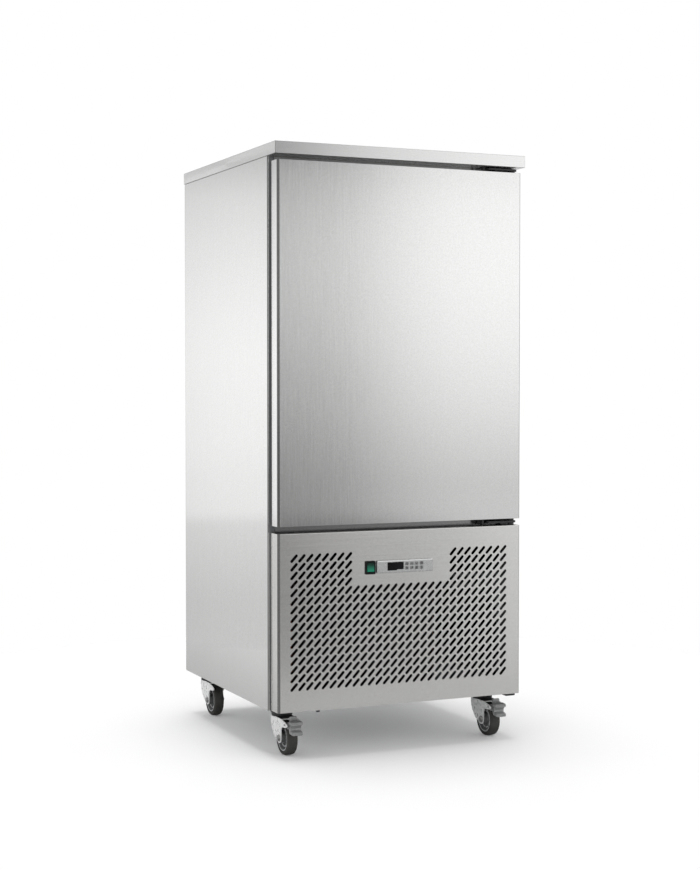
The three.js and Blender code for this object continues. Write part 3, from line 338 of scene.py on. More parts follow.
def piece(name, parts, material, body, stands_for=(), bevel=0.0, smooth=SMOOTH):
    """One object out of (points, faces) parts. It rides on the body and may stand for CAD nodes."""
    points, faces, start = [], [], 0
    for part_points, part_faces in parts:
        points.append(np.asarray(part_points, float))
        faces += [[index + start for index in face] for face in part_faces]
        start += len(part_points)
    mesh = bpy.data.meshes.new(name)
    mesh.from_pydata(np.concatenate(points).tolist(), [], faces)
    form = bmesh.new()
    form.from_mesh(mesh)
    bmesh.ops.remove_doubles(form, verts=form.verts, dist=2e-6)
    bmesh.ops.recalc_face_normals(form, faces=form.faces)
    form.to_mesh(mesh)
    form.free()
    return finished(name, mesh, material, body, stands_for, bevel, smooth)


def finished(name, mesh, material, body, stands_for, bevel, smooth):
    """Puts a mesh into the scene with its finish, softened edges and body."""
    mesh.materials.clear()
    mesh.materials.append(material)
    mesh.shade_smooth()
    mesh.set_sharp_from_angle(angle=math.radians(smooth))
    made = stood(name, mesh)
    if bevel:
        edge = made.modifiers.new("softened_edges", "BEVEL")
        edge.width = bevel
        edge.segments = 2
        edge.limit_method = "ANGLE"
        edge.angle_limit = math.radians(40)
        edge.harden_normals = False
    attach(made, body)
    if stands_for:
        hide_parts(*stands_for)
    return made


def copied(node, material, body, bevel):
    """A CAD node's own form with its doubles merged, flat faces joined and edges softened."""
    form = bmesh.new()
    form.from_mesh(nodes[node].data)
    bmesh.ops.remove_doubles(form, verts=form.verts, dist=1e-6)
    bmesh.ops.dissolve_limit(form, angle_limit=math.radians(0.4), verts=form.verts, edges=form.edges)
    mesh = bpy.data.meshes.new(node + "_sheet")
    form.to_mesh(mesh)
    form.free()
    return finished(node + "_sheet", mesh, material, body, (node,), bevel, SMOOTH)


def shaded(name, metal, rough, **fixed):
    """A new material, its node tree and its Principled shader."""
    material = bpy.data.materials.new(name)
    material.use_nodes = True
    tree = material.node_tree
    skin = tree.nodes["Principled BSDF"]
    skin.inputs["Metallic"].default_value = metal
    skin.inputs["Roughness"].default_value = rough
    for key, value in fixed.items():
        skin.inputs[key.replace("_", " ")].default_value = value
    return material, tree, skin


def new_group(name, inputs, outputs):
    """An empty shader group with named inputs and outputs, and its two end nodes."""
    group = bpy.data.node_groups.new(name, "ShaderNodeTree")
    for key, kind in inputs.items():
        group.interface.new_socket(key, in_out="INPUT", socket_type="NodeSocket" + kind)
    for key, kind in outputs.items():
        group.interface.new_socket(key, in_out="OUTPUT", socket_type="NodeSocket" + kind)
    return group, group.nodes.new("NodeGroupInput").outputs, group.nodes.new("NodeGroupOutput").inputs


def grouped(tree, group, links=(), **settings):
    """A node that holds the group, with its inputs set by name; gives its outputs."""
    node = tree.nodes.new("ShaderNodeGroup")
    node.node_tree = group
    for key, value in settings.items():
        node.inputs[key].default_value = value
    for key, source in dict(links).items():
        tree.links.new(source, node.inputs[key])
    return node.outputs


def surfaced(tree, skin, colour, rough, height, strength, distance):
    """Gives the Principled shader its colour, its roughness and a fine relief."""
    tree.links.new(colour, skin.inputs["Base Color"])
    tree.links.new(rough, skin.inputs["Roughness"])
    relief = add(tree, "Bump", {"Height": height}, Strength=strength, Distance=distance)
    tree.links.new(relief.outputs[0], skin.inputs["Normal"])


def speckle_group():
    """Two sizes of noise about zero, for blotches and fine texture: a mix of both, and each alone."""
    group, given, out = new_group(
        "speckle", {"Coarse": "Float", "Fine": "Float", "Balance": "Float"},
        {"Mixed": "Float", "Blotch": "Float", "Grit": "Float"})
    place = add(group, "TexCoord").outputs["Object"]
    coarse = add(group, "TexNoise", {"Vector": place, "Scale": given["Coarse"]}, Detail=3.0, Roughness=0.55)
    fine = add(group, "TexNoise", {"Vector": place, "Scale": given["Fine"]}, Detail=2.0, Roughness=0.6)
    blotch = maths(group, "SUBTRACT", coarse.outputs[0], 0.5)
    grit = maths(group, "SUBTRACT", fine.outputs[0], 0.5)
    group.links.new(blended(group, given["Balance"], blotch, grit), out["Mixed"])
    group.links.new(blotch, out["Blotch"])
    group.links.new(grit, out["Grit"])
    return group


SPECKLE = speckle_group()


def edge_group():
    """Share of wear on outside edges: where the surface turned through a small radius differs."""
    group, given, out = new_group("edge_wear", {"Reach": "Float", "Break": "Float"}, {"Wear": "Float"})
    bent = add(group, "Bevel", {"Radius": given["Reach"]}, samples=4)
    flat = add(group, "NewGeometry").outputs["Normal"]
    match = add(group, "VectorMath", {0: bent.outputs[0], 1: flat}, operation="DOT_PRODUCT").outputs["Value"]
    turn = scaled(group, match, 0.995, 0.75)
    place = add(group, "TexCoord").outputs["Object"]
    broken = add(group, "TexNoise", {"Vector": place, "Scale": given["Break"]}, Detail=3.0).outputs[0]
    group.links.new(maths(group, "MULTIPLY", turn, scaled(group, broken, 0.35, 0.6)), out["Wear"])
    return group


EDGE_WEAR = edge_group()


def tinted(tree, light, dark, share):
    """Colour between two by a share from 0 to 1."""
    node = add(tree, "Mix", {0: share}, data_type="RGBA")
    node.inputs[6].default_value = (*light, 1)
    node.inputs[7].default_value = (*dark, 1)
    return node.outputs[2]


def tinted_by(tree, share, colour, other):
    """A colour that gives way to a plain one by a share from 0 to 1."""
    node = add(tree, "Mix", {0: share, 6: colour}, data_type="RGBA")
    node.inputs[7].default_value = (*other, 1)
    return node.outputs[2]


def speckled(name, colour, other, metal, rough, coarse, fine, vary=0.12, bump=0.1, depth=0.0001,
             balance=0.4, worn=None, **fixed):
    """A finish with blotches and grit in its colour, gloss and relief, and wear on its edges."""
    material, tree, skin = shaded(name, metal, rough, **fixed)
    marks = grouped(tree, SPECKLE, Coarse=coarse, Fine=fine, Balance=balance)
    share = maths(tree, "MULTIPLY_ADD", marks["Mixed"], 2.2, 0.5)
    shade = tinted(tree, colour, other, share)
    if worn:
        wear = grouped(tree, EDGE_WEAR, Reach=0.0012, Break=180.0)["Wear"]
        shade = tinted_by(tree, maths(tree, "MULTIPLY", wear, 0.6), shade, worn)
    gloss = maths(tree, "MULTIPLY_ADD", marks["Mixed"], vary, rough)
    surfaced(tree, skin, shade, gloss, marks["Grit"], bump, depth)
    return material


zinc = speckled("zinc_plate", (0.74, 0.75, 0.75), (0.94, 0.94, 0.93), 0.45, 0.30, 110, 1100,
                vary=0.35, bump=0.2, balance=0.3, worn=(0.97, 0.97, 0.96))
cast_zinc = speckled("cast_zinc", (0.24, 0.245, 0.245), (0.44, 0.445, 0.44), 0.7, 0.45, 180, 1500,
                     vary=0.3, bump=0.5, balance=0.5, worn=(0.60, 0.60, 0.59))
black_steel = speckled("black_painted_steel", (0.012, 0.012, 0.013), (0.03, 0.03, 0.031), 0.0, 0.42, 60, 1200,
                       vary=0.25, worn=(0.09, 0.09, 0.09))
wheel_grey = speckled("wheel_centre_grey", (0.060, 0.062, 0.063), (0.105, 0.108, 0.11), 0.0, 0.36, 70, 1500,
                      worn=(0.30, 0.305, 0.31))
# a paler grey for the rings: painted highlight on the wheel centre's edges
ring_highlight_grey = speckled("wheel_ring_highlight", (0.30, 0.305, 0.31), (0.44, 0.445, 0.45), 0.0, 0.34, 90, 1500,
                     vary=0.2)
axle_zinc = speckled("bolt_zinc", (0.42, 0.43, 0.43), (0.62, 0.62, 0.60), 1.0, 0.32, 200, 1500, vary=0.2)


def tyre_rubber():
    """Dark grey rubber with dusty blotches and grit in its shade, gloss and relief."""
    material, tree, skin = shaded("tyre_rubber", 0.0, 0.72, Specular_IOR_Level=0.35)
    marks = grouped(tree, SPECKLE, Coarse=55.0, Fine=1300.0, Balance=0.5)
    share = maths(tree, "MULTIPLY_ADD", marks["Mixed"], 2.4, 0.42)
    colour = tinted(tree, (0.018, 0.018, 0.017), (0.058, 0.057, 0.051), share)
    gloss = maths(tree, "MULTIPLY_ADD", marks["Blotch"], 0.3, 0.7)
    surfaced(tree, skin, colour, gloss, marks["Grit"], 0.3, 0.0002)
    return material


tyre_finish = tyre_rubber()


def arc(centre, radius, start, end, steps):
    """Points round part of a circle, between two angles in degrees."""
    angle = np.radians(np.linspace(start, end, steps))
    return np.c_[centre[0] + radius * np.cos(angle), centre[1] + radius * np.sin(angle)]


def tyre_profile():
    """Half-round shoulders, a slight crown at the middle and a bead line on each wall."""
    shoulder, crown = 0.0065, 0.0008
    half = TYRE_HALF
    right = arc((WHEEL_RADIUS - crown - shoulder, half - shoulder), shoulder, 90, 8, 8)
    bead = [(0, -0.0012), (0.0008, -0.0002), (0.0022, -0.0002), (0.0028, -0.0008), (0.0036, 0)]
    wall = np.array(bead) + (TYRE_BORE, half)
    side = np.concatenate([wall, right, [(WHEEL_RADIUS - 0.0002, half * 0.35)]])
    other = side[::-1] * (1, -1)
    return np.concatenate([side, [(WHEEL_RADIUS, 0.0)], other])


def wheel_centre(rim):
    """Grey moulded centre: raised rim, dished web with a ring on it, and a boss for the axle."""
    half = [(0.0063, 0.0212), (0.0125, 0.0212), (0.0135, 0.0202), (0.0145, 0.0095), (0.0175, 0.0072),
            (0.0225, 0.0068), (0.0232, 0.0084), (0.0262, 0.0084), (0.0270, 0.0066), (0.0312, 0.0070),
            (0.0335, 0.0126), (0.0345, 0.0138), (rim - 0.0010, 0.0140), (rim, 0.0130)]
    half = np.array(half)
    return np.concatenate([half, half[::-1] * (1, -1)])


def hexagon(across):
    """A bolt head's outline from its width across flats."""
    angle = np.radians(np.arange(6) * 60)
    return across / math.sqrt(3) * np.c_[np.cos(angle), np.sin(angle)]


def bolt_head(centre, axis, across, height, washer, way=1):
    """Hexagon head with a chamfered crown on a round washer; way is its side of the centre."""
    rim = [(0, 0), (across * 0.70, 0), (across * 0.73, washer * 0.4), (across * 0.68, washer), (0, washer)]
    parts = [turned(np.array(rim) * (1, way), centre, axis, 20)]
    shoulder = washer + height * 0.8
    for share, low, high in ((1, washer, shoulder), (0.86, shoulder, washer + height)):
        points, faces = prism(hexagon(across) * share, way * low, way * high)
        parts.append((aimed(points, axis, centre), faces))
    return parts


def eased(corners, reach, steps=5):
    """An outline whose corners are rounded by short curves that start that far before each."""
    corners = np.asarray(corners, float)
    share = np.linspace(0, 1, steps)[:, None]
    curves = []
    for before, corner, after in zip(np.roll(corners, 1, 0), corners, np.roll(corners, -1, 0)):
        lengths = [np.linalg.norm(end - corner) for end in (before, after)]
        start, stop = (corner + (end - corner) * min(reach / length, 0.48)
                       for end, length in zip((before, after), lengths))
        curves.append(start * (1 - share) ** 2 + 2 * corner * share * (1 - share) + stop * share ** 2)
    return np.concatenate(curves)


def circle(centre, radius, steps=16):
    """A round outline from evenly spaced points."""
    angle = np.linspace(0, 2 * np.pi, steps, endpoint=False)
    return np.asarray(centre) + radius * np.c_[np.cos(angle), np.sin(angle)]


def pierced(outline, holes, low, high, axis="Z"):
    """A flat plate with holes: both faces triangulated between the outlines, and a wall round each."""
    loops = [np.asarray(loop, float) for loop in (outline, *holes)]
    starts = np.cumsum([0] + [len(loop) for loop in loops])
    rings = [list(range(starts[k], starts[k + 1])) for k in range(len(loops))]
    flat = np.concatenate(loops)
    middle = flat.mean(0)
    points, _, faces, _, _, owners = delaunay_2d_cdt((flat - middle).tolist(), [], rings, 1, 1e-8)
    points = np.array([tuple(p) for p in points]) + middle
    faces = [list(face) for face, owner in zip(faces, owners) if list(owner) == [0]]
    count = len(points)
    solid = np.concatenate([np.c_[points, np.full(count, level)] for level in (low, high)])
    sides = [[a, b, b + count, a + count] for ring in rings for a, b in zip(ring, ring[1:] + ring[:1])]
    backs = [[index + count for index in face[::-1]] for face in faces]
    return aimed(solid, axis), faces + backs + sides


# Millimetres from the axle, with the wing to the front.
FORK_LEG = [(64, 57), (-17, 57), (-46, 52), (-62, 45), (-54, 38), (-22, 35), (-14, 28), (-15, 4), (-11, -12),
            (4, -15), (38, 0), (58, 22), (66, 44)]
FORK_INNER = 0.0217
AXLE_BORE = 0.0063
CROWN = (0.104, 0.107)


def fork(corner, place, braked):
    """Pressed fork: two legs with a wing forward and small holes, and the crown over the wheel. A black
    race turns between them and the plate, and a black cover on the crown's top paints the shade there."""
    x, y = place
    axle = np.array([y - TRAIL, WHEEL_RADIUS])
    leg = eased(np.array(FORK_LEG) * MM + axle, 0.006)
    drilled = [((0, 0), AXLE_BORE, 16), ((-0.036, 0.0465), 0.0019, 10), ((-0.019, 0.050), 0.0019, 10)]
    if braked:
        drilled[1] = ((-0.030, 0.0395), 0.0019, 10)
        drilled.append(((-0.045, 0.045), 0.0033, 12))
    holes = [circle(axle + spot, radius, steps) for spot, radius, steps in drilled]
    parts = [pierced(leg, holes, x + side * FORK_INNER, x + side * FORK_OUTER, "X") for side in (-1, 1)]
    sweep = np.linspace(-0.62, math.pi + 0.62, 24)
    crown = np.concatenate([[(-FORK_OUTER, -TRAIL - 0.017), (FORK_OUTER, -TRAIL - 0.017)],
                            0.030 * np.c_[np.cos(sweep), np.sin(sweep)]])
    bore = circle((x, y), AXLE_BORE)
    parts.append(pierced(crown + (x, y), [bore], *CROWN))
    race = [(AXLE_BORE, CROWN[1]), (0.0263, CROWN[1]), (0.0263, 0.1205), (0.0252, 0.1216),
            (AXLE_BORE, 0.1216)]
    # painted shade: a black cover over the crown's top, where it lies in shade under the cabinet
    crown_shade_cover = pierced(crown * 0.96 + (x, y), [bore], CROWN[1], CROWN[1] + 0.0008)
    piece("race_" + corner, [turned(race, (x, y, 0), "Z", 40), crown_shade_cover], black_steel, "castor_" + corner,
          smooth=35)
    piece("fork_" + corner, parts, zinc, "castor_" + corner, ("castor_fork_" + corner,),
          bevel=0.0006, smooth=35)


HUB_RIM = 0.0378
RIB_TURNS = np.arange(8) * math.pi / 4
# Raised rings on each face of the centre, in a paler grey that paints the highlight on its edges:
# radius and height of their sections in millimetres.
WHEEL_HIGHLIGHT_RINGS = [
    [(34.2, 12.0), (34.8, 14.1), (35.6, 14.6), (36.8, 14.4), (37.7, 13.4), (37.7, 12.0)],
    [(22.8, 7.0), (23.2, 8.7), (24.0, 9.0), (25.4, 9.0), (26.2, 8.7), (26.6, 7.0)],
]


def spun(part, angle, centre, axis="Y"):
    """A part turned about an axis through the centre, by radians."""
    points, faces = part
    first, second, _ = AXES[axis]
    arm = np.asarray(points) - centre
    out = arm.copy()
    out[:, first] = arm[:, first] * math.cos(angle) - arm[:, second] * math.sin(angle)
    out[:, second] = arm[:, first] * math.sin(angle) + arm[:, second] * math.cos(angle)
    return out + centre, faces


def castor(corner, place):
    """Every piece of one castor about its swivel axis."""
    x, y = place
    axle = (x, y - TRAIL, WHEEL_RADIUS)
    carrier, wheel = "castor_" + corner, "wheel_" + corner
    piece("tyre_" + corner, [turned(tyre_profile(), axle, "X", 72)], tyre_finish, wheel,
          ("castor_tyre_" + corner,), smooth=50)
    ribs = [spun(block(axle[0] + np.array((-0.0098, 0.0098)), axle[1] + np.array((0.0125, 0.0335)),
                       axle[2] + np.array((-0.0012, 0.0012))), turn, axle, "X") for turn in RIB_TURNS]
    piece("wheel_centre_" + corner, [turned(wheel_centre(HUB_RIM), axle, "X", 48)] + ribs, wheel_grey, wheel,
          ("castor_hub_" + corner,), bevel=0.0004, smooth=30)
    rings = [turned(np.array(ring) * MM * (1, way), axle, "X", 56) for ring in WHEEL_HIGHLIGHT_RINGS for way in (-1, 1)]
    piece("wheel_highlight_rings_" + corner, rings, ring_highlight_grey, wheel, smooth=30)
    ends = []
    for way in (-1, 1):
        seat = (x + way * (FORK_OUTER + 0.0003), axle[1], axle[2])
        ends += bolt_head(seat, "X", 0.0150, 0.0042, 0.0008, way)
    shank = [(0, -29), (5.2, -29), (6, -28.2), (6, 30), (5, 30.8), (0, 30.8)]
    ends.append(turned(np.array(shank) * MM, axle, "X", 20))
    piece("axle_bolt_" + corner, ends, axle_zinc, carrier, ("castor_axle_" + corner,), smooth=30)
    fork(corner, place, corner.startswith("front"))


def castor_top(corner, place):
    """Plate under the cabinet with its race skirt, four bolts and the kingpin's riveted end."""
    x, y = place
    top = 0.1347
    thick = 0.0035
    plate = prism(rounded((x - 0.050, x + 0.050), (y - 0.0425, y + 0.0425), 0.008), top - thick, top)
    kingpin = [(0, 0.098), (0.0075, 0.098), (0.009, 0.0992), (0.009, 0.1035), (0.006, 0.1037),
               (0.006, 0.1220)]
    skirt = [(0.0280, 0.1220), (0.0280, 0.1095), (0.0284, 0.1086), (0.0296, 0.1086), (0.0300, 0.1096),
             (0.0300, 0.1180), (0.0340, 0.1250), (0.0350, top - thick), (0, top - thick)]
    head = turned(kingpin + skirt, (x, y, 0), "Z", 48)
    parts = [plate, head]
    for along in (-1, 1):
        for across in (-1, 1):
            spot = (x + along * 0.040, y + across * 0.030, top - thick)
            parts += bolt_head(spot, "Z", 0.0110, 0.0055, 0.0012, -1)
    piece("castor_top_" + corner, parts, black_steel, "cabinet", ("castor_plate_" + corner,),
          bevel=0.0004, smooth=30)


for corner, place in CORNERS.items():
    castor(corner, place)
    castor_top(corner, place)


def ledge(side, x, half, ends):
    """A tread carried across X. Toward each end its section shrinks as sqrt(1 - t^2), which rounds it."""
    taper = ends * (1 - np.cos(np.linspace(0, 1, 7) * np.pi / 2))
    along = np.r_[-half + taper, half - taper[::-1]]
    reach = np.sqrt(np.clip(1 - np.clip((np.abs(along) - (half - ends)) / ends, 0, 1) ** 2, 0, 1))
    share = (0.45 + 0.55 * reach)[:, None, None]
    middle = np.array([side[:, 0].max(), side[:, 1].mean()])
    points = np.concatenate([np.broadcast_to((x + along)[:, None, None], (len(along), len(side), 1)),
                             middle + (side - middle) * share], -1)
    count = len(side)
    faces = grid_quads(len(along), count, False, True).tolist()
    faces += [list(range(count))[::-1], list(range((len(along) - 1) * count, len(along) * count))]
    return points.reshape(-1, 3), faces


RIDGES, RIDGE_HEIGHT = 3, 0.0013


def pedal_side(low, high, front, behind):
    """Side view of a tread: a sloping front with small ridges, then the points behind it."""
    rise = np.linspace(low, high, RIDGES * 4 + 1)
    ridge = RIDGE_HEIGHT * (np.arange(len(rise)) % 4 // 2)
    return np.concatenate([np.c_[front + 0.15 * (rise - low) - ridge, rise], np.array(behind) * MM])


def brake_pedal(corner, place):
    """Cast pedal: two ribbed ledges forward of the fork, a release tongue and the shoe's arm."""
    x, y = place[0], place[1] - TRAIL
    body = "brake_pedal_" + corner
    arm = np.array([(-42, 82), (-37, 90), (-40, 101), (-52, 104), (-64, 104), (-70, 96), (-66, 88), (-68, 72),
                    (-60, 72), (-54, 84)]) * MM
    upper = pedal_side(0.098, 0.1065, -0.0800, [(-62, 108), (-62, 97)])
    lower = pedal_side(0.070, 0.0790, -0.0840, [(-66, 83), (-63, 72)])
    tongue = np.array([(-50, 100), (-52.5, 112), (-52, 118), (-50.5, 119), (-47.5, 119), (-46, 118),
                       (-43, 100)]) * MM
    parts = [prism(arm + (y, 0), x - 0.016, x + 0.016, "X")]
    for side, half, ends in ((upper, 0.0190, 0.006), (lower, 0.0175, 0.007), (tongue, 0.0110, 0.004)):
        parts.append(ledge(side + (y, 0), x, half, ends))
    pin = [(0, -26.2), (2.6, -26.2), (3, -25.6), (3, 25.6), (2.6, 26.2), (0, 26.2)]
    parts.append(turned(np.array(pin) * MM, (x, y - 0.045, 0.095), "X", 16))
    piece("pedal_" + corner, parts, cast_zinc, body, ("brake_pedal_" + corner,), bevel=0.0005,
          smooth=30)


for corner in ("front_left", "front_right"):
    brake_pedal(corner, CORNERS[corner])


# ---------- machine compartment ----------
# Galvanised floor pan with a hermetic compressor at the back right. The finned condenser stands
# behind the grille at the left, with its shroud and fan drawing air through it to the back.

def galvanised_zinc():
    """Hot-dip zinc: crystals a few millimetres across that differ in shade and gloss."""
    material, tree, skin = shaded("galvanised_sheet", 0.9, 0.42)
    place = add(tree, "TexCoord").outputs["Object"]
    crystals = add(tree, "TexVoronoi", {"Vector": place}, Scale=130.0)
    each = add(tree, "SeparateColor", {"Color": crystals.outputs["Color"]}).outputs["Red"]
    marks = grouped(tree, SPECKLE, Coarse=9.0, Fine=700.0, Balance=0.4)
    colour = tinted(tree, (0.36, 0.38, 0.39), (0.52, 0.54, 0.55), maths(tree, "ADD", each, marks["Mixed"]))
    surfaced(tree, skin, colour, maths(tree, "MULTIPLY_ADD", each, 0.16, 0.36), each, 0.12, 0.0002)
    return material


galvanised = galvanised_zinc()
black_plastic = speckled("black_plastic", (0.008, 0.008, 0.009), (0.017, 0.017, 0.018), 0.0, 0.42, 40, 1600,
                         vary=0.2, bump=0.2)
copper = speckled("copper_pipe", (0.55, 0.24, 0.13), (0.32, 0.13, 0.08), 1.0, 0.34, 60, 700, vary=0.4)
rubber = speckled("black_rubber", (0.014, 0.014, 0.014), (0.03, 0.03, 0.029), 0.0, 0.7, 50, 1100, bump=0.3)
# black coating on the condenser, whose darkness also stands in as painted shade behind the grille's slots
black_fins_and_slot_shade = speckled("condenser_black_slot_shade", (0.012, 0.012, 0.013), (0.028, 0.028, 0.030), 0.0, 0.45, 30, 500,
                      vary=0.2)
fin_metal = speckled("aluminium_fins", (0.60, 0.61, 0.62), (0.42, 0.43, 0.44), 0.9, 0.4, 30, 500, vary=0.3)
machine_black = speckled("compressor_enamel", (0.010, 0.011, 0.012), (0.024, 0.025, 0.027), 0.0, 0.3, 26, 700,
                         vary=0.25, bump=0.25, worn=(0.07, 0.07, 0.07), Coat_Weight=0.4)

copied("base_pan", galvanised, "cabinet", 0.0006)

PAN_TOP = 0.1378
COMPRESSOR_PLACE = np.array((0.240, 0.190, PAN_TOP))


def compressor():
    """Domed steel can with a welded seam, on a cross foot with rubber mounts."""
    centre = COMPRESSOR_PLACE
    can = [(0, 12), (56, 12), (76, 17), (88, 28), (92, 42), (92, 84), (95.5, 85), (95.5, 93), (92, 94),
           (92, 140), (88, 157), (76, 173), (54, 184), (27, 189), (0, 190)]
    parts = [turned(np.array(can) * MM, centre, steps=64)]
    cross = [(120, 22), (30, 34), (22, 120), (-22, 120), (-34, 30), (-120, 22), (-120, -22), (-34, -30),
             (-22, -120), (22, -120), (34, -30), (120, -22)]
    feet = eased(np.array(cross) * MM, 0.012)
    parts.append(prism(feet + centre[:2], centre[2], centre[2] + 0.004))
    saddle = np.array((-0.034, 0.034))
    parts.append(block(centre[0] + saddle, centre[1] + saddle, (centre[2] + 0.003, centre[2] + 0.014)))
    box = rounded(centre[1] + np.array((-0.034, 0.026)), centre[2] + np.array((0.075, 0.135)), 0.006)
    parts.append(prism(box, centre[0] - 0.112, centre[0] - 0.080, "X"))
    piece("compressor_can", parts, machine_black, "cabinet", ("compressor",),
          bevel=0.0012)
    mounts, bolts = [], []
    puck = [(0, 0.5), (13, 0.5), (13.5, 4), (11, 7), (13.5, 10), (12, 13), (0, 13)]
    for x, y in ((0.105, 0), (-0.105, 0), (0, 0.105), (0, -0.105)):
        spot = centre + (x, y, 0)
        mounts.append(turned(np.array(puck) * MM, spot, steps=24))
        bolts += bolt_head(spot + (0, 0, 0.013), "Z", 0.010, 0.005, 0.0015)
    piece("compressor_mounts", mounts, rubber, "cabinet")
    piece("compressor_bolts", bolts, axle_zinc, "cabinet")
    rise = np.linspace(0, 1, 14)[:, None]
    lines = []
    for x, y, lean in ((-0.048, 0.066, 0.006), (0.048, 0.060, -0.010)):
        foot = centre + (x * 0.86, y * 0.86, 0.140)
        lines.append(tube(foot + rise * (x * 0.14 + lean * 0.2, y * 0.14, 0.072), 0.0045, 12))
        lines.append(turned([(0, 0.0), (0.0075, 0), (0.0085, 0.004), (0.0055, 0.009), (0, 0.009)],
                            foot + (0, 0, 0.010), steps=16))
    piece("compressor_pipes", lines, copper, "cabinet")


compressor()


SHEET = 0.0015
FIN = 0.00026
PIPE = 0.0042                       # radius of the coils' tubes


def finned_coil(name, node, x, y, z, back, foot, pitch, rows, columns, finish):
    """Thin fins at an even pitch between two end plates, threaded by tubes with bends at the ends."""
    inner = (x[0] + 0.012, x[1] - 0.012)
    plates = [block((inner[0] - SHEET, inner[0]), (y[0], back), (foot, z[1])),
              block((inner[1], inner[1] + SHEET), (y[0], back), (foot, z[1]))]
    deep, tall = (y[0] + 0.002, y[1] - 0.002), (z[0] + 0.004, z[1] - 0.003)
    fins = [block((spot - FIN / 2, spot + FIN / 2), deep, tall)
            for spot in np.arange(inner[0] + pitch, inner[1] - pitch / 2, pitch)]
    piece(name + "_fins", plates + fins, finish, "cabinet", (node,))
    bend = np.linspace(-np.pi / 2, np.pi / 2, 9)
    heights = np.linspace(z[0] + 0.018, z[1] - 0.018, rows)
    lines = []
    for column, depth in enumerate(np.linspace(y[0] + 0.016, y[1] - 0.016, columns)):
        for height in heights:
            ends = [(end, depth, height) for end in (inner[0] - 0.003, inner[1] + 0.003)]
            lines.append(tube(ends, PIPE, 8))
        for way, first in ((-1, column % 2), (1, 1 - column % 2)):
            for low, high in zip(heights[first::2], heights[first + 1::2]):
                middle, reach = (low + high) / 2, (high - low) / 2
                end = inner[0] - SHEET if way < 0 else inner[1] + SHEET
                along = end + way * min(0.0058, reach) * np.cos(bend)
                path = np.c_[along, np.full(len(bend), depth), middle + reach * np.sin(bend)]
                lines.append(tube(path, PIPE, 8))
    piece(name + "_tubes", lines, copper, "cabinet")


finned_coil("condenser", "condenser_coil", (-0.303, 0.163), (-0.280, -0.212), (0.165, 0.500), -0.212,
            PAN_TOP, 0.0040, 14, 2, black_fins_and_slot_shade)


def motor_parts(centre, opening):
    """Fan motor behind an opening: a ribbed can on three flat arms that reach past its rim."""
    can = [(0, 0), (34, 0), (38, 3), (38, 12), (36.8, 13), (36.8, 16), (38, 17), (38, 48), (34, 54.5),
           (14, 55), (0, 55)]
    parts = [turned(np.array(can) * MM, centre, "Y", 40)]
    for arm in range(3):
        bar = block(centre[0] + np.array((0.030, opening + 0.008)), centre[1] + np.array((0, 0.003)),
                    centre[2] + np.array((-0.004, 0.004)))
        parts.append(spun(bar, math.radians(120 * arm - 30), centre))
    return parts


def ring_guard(centre, radii):
    """Concentric wires of a finger guard, held by three straight ones."""
    parts = [turned(circle((radius, 0), 0.0011, 6), centre, "Y", 48) for radius in radii]
    for spoke in range(3):
        wire = tube([centre + (radii[0], 0.0018, 0), centre + (radii[-1], 0.0018, 0)], 0.0012, 8)
        parts.append(spun(wire, math.radians(120 * spoke + 30), centre))
    return parts


def condenser_shroud():
    """Pressed box behind the coil with a round mouth for the fan."""
    x, y, z = (-0.300, 0.160), (-0.2117, -0.1617), (PAN_TOP, 0.500)
    centre = np.array((-0.070, y[1], 0.3325))
    mouth = 0.151
    outside, inside = rounded(x, z, 0.004), rounded_within(x, z, SHEET, 0.0025)
    collar = [(mouth - 0.0005, -0.0002), (mouth + SHEET, -0.0002), (mouth + SHEET, -0.012),
              (mouth - 0.0005, -0.012)]
    parts = [pierced(outside, [circle(centre[::2], mouth, 64)], y[1] - SHEET, y[1], "Y"),
             pierced(outside, [inside], y[0], y[1] - SHEET * 0.9, "Y"), turned(collar, centre, "Y", 64)]
    # black shroud, which also paints the shade seen through the grille's slots
    piece("condenser_shroud_box", parts, black_steel, "cabinet", ("condenser_shroud",),
          bevel=0.0004)
    piece("condenser_motor", motor_parts(centre, mouth), machine_black, "cabinet", bevel=0.0003)


condenser_shroud()


def solid_between(front, back):
    """Closed solid between two grids of points of one shape."""
    rows, columns = front.shape[:2]
    count = rows * columns
    quads = grid_quads(rows, columns)
    ring = ([(0, c) for c in range(columns)] + [(r, columns - 1) for r in range(1, rows)]
            + [(rows - 1, c) for c in range(columns - 2, -1, -1)] + [(r, 0) for r in range(rows - 2, 0, -1)])
    rim = [r * columns + c for r, c in ring]
    sides = [[a, b, b + count, a + count] for a, b in zip(rim, rim[1:] + rim[:1])]
    return (np.concatenate([front.reshape(-1, 3), back.reshape(-1, 3)]),
            quads.tolist() + (quads[:, ::-1] + count).tolist() + sides)


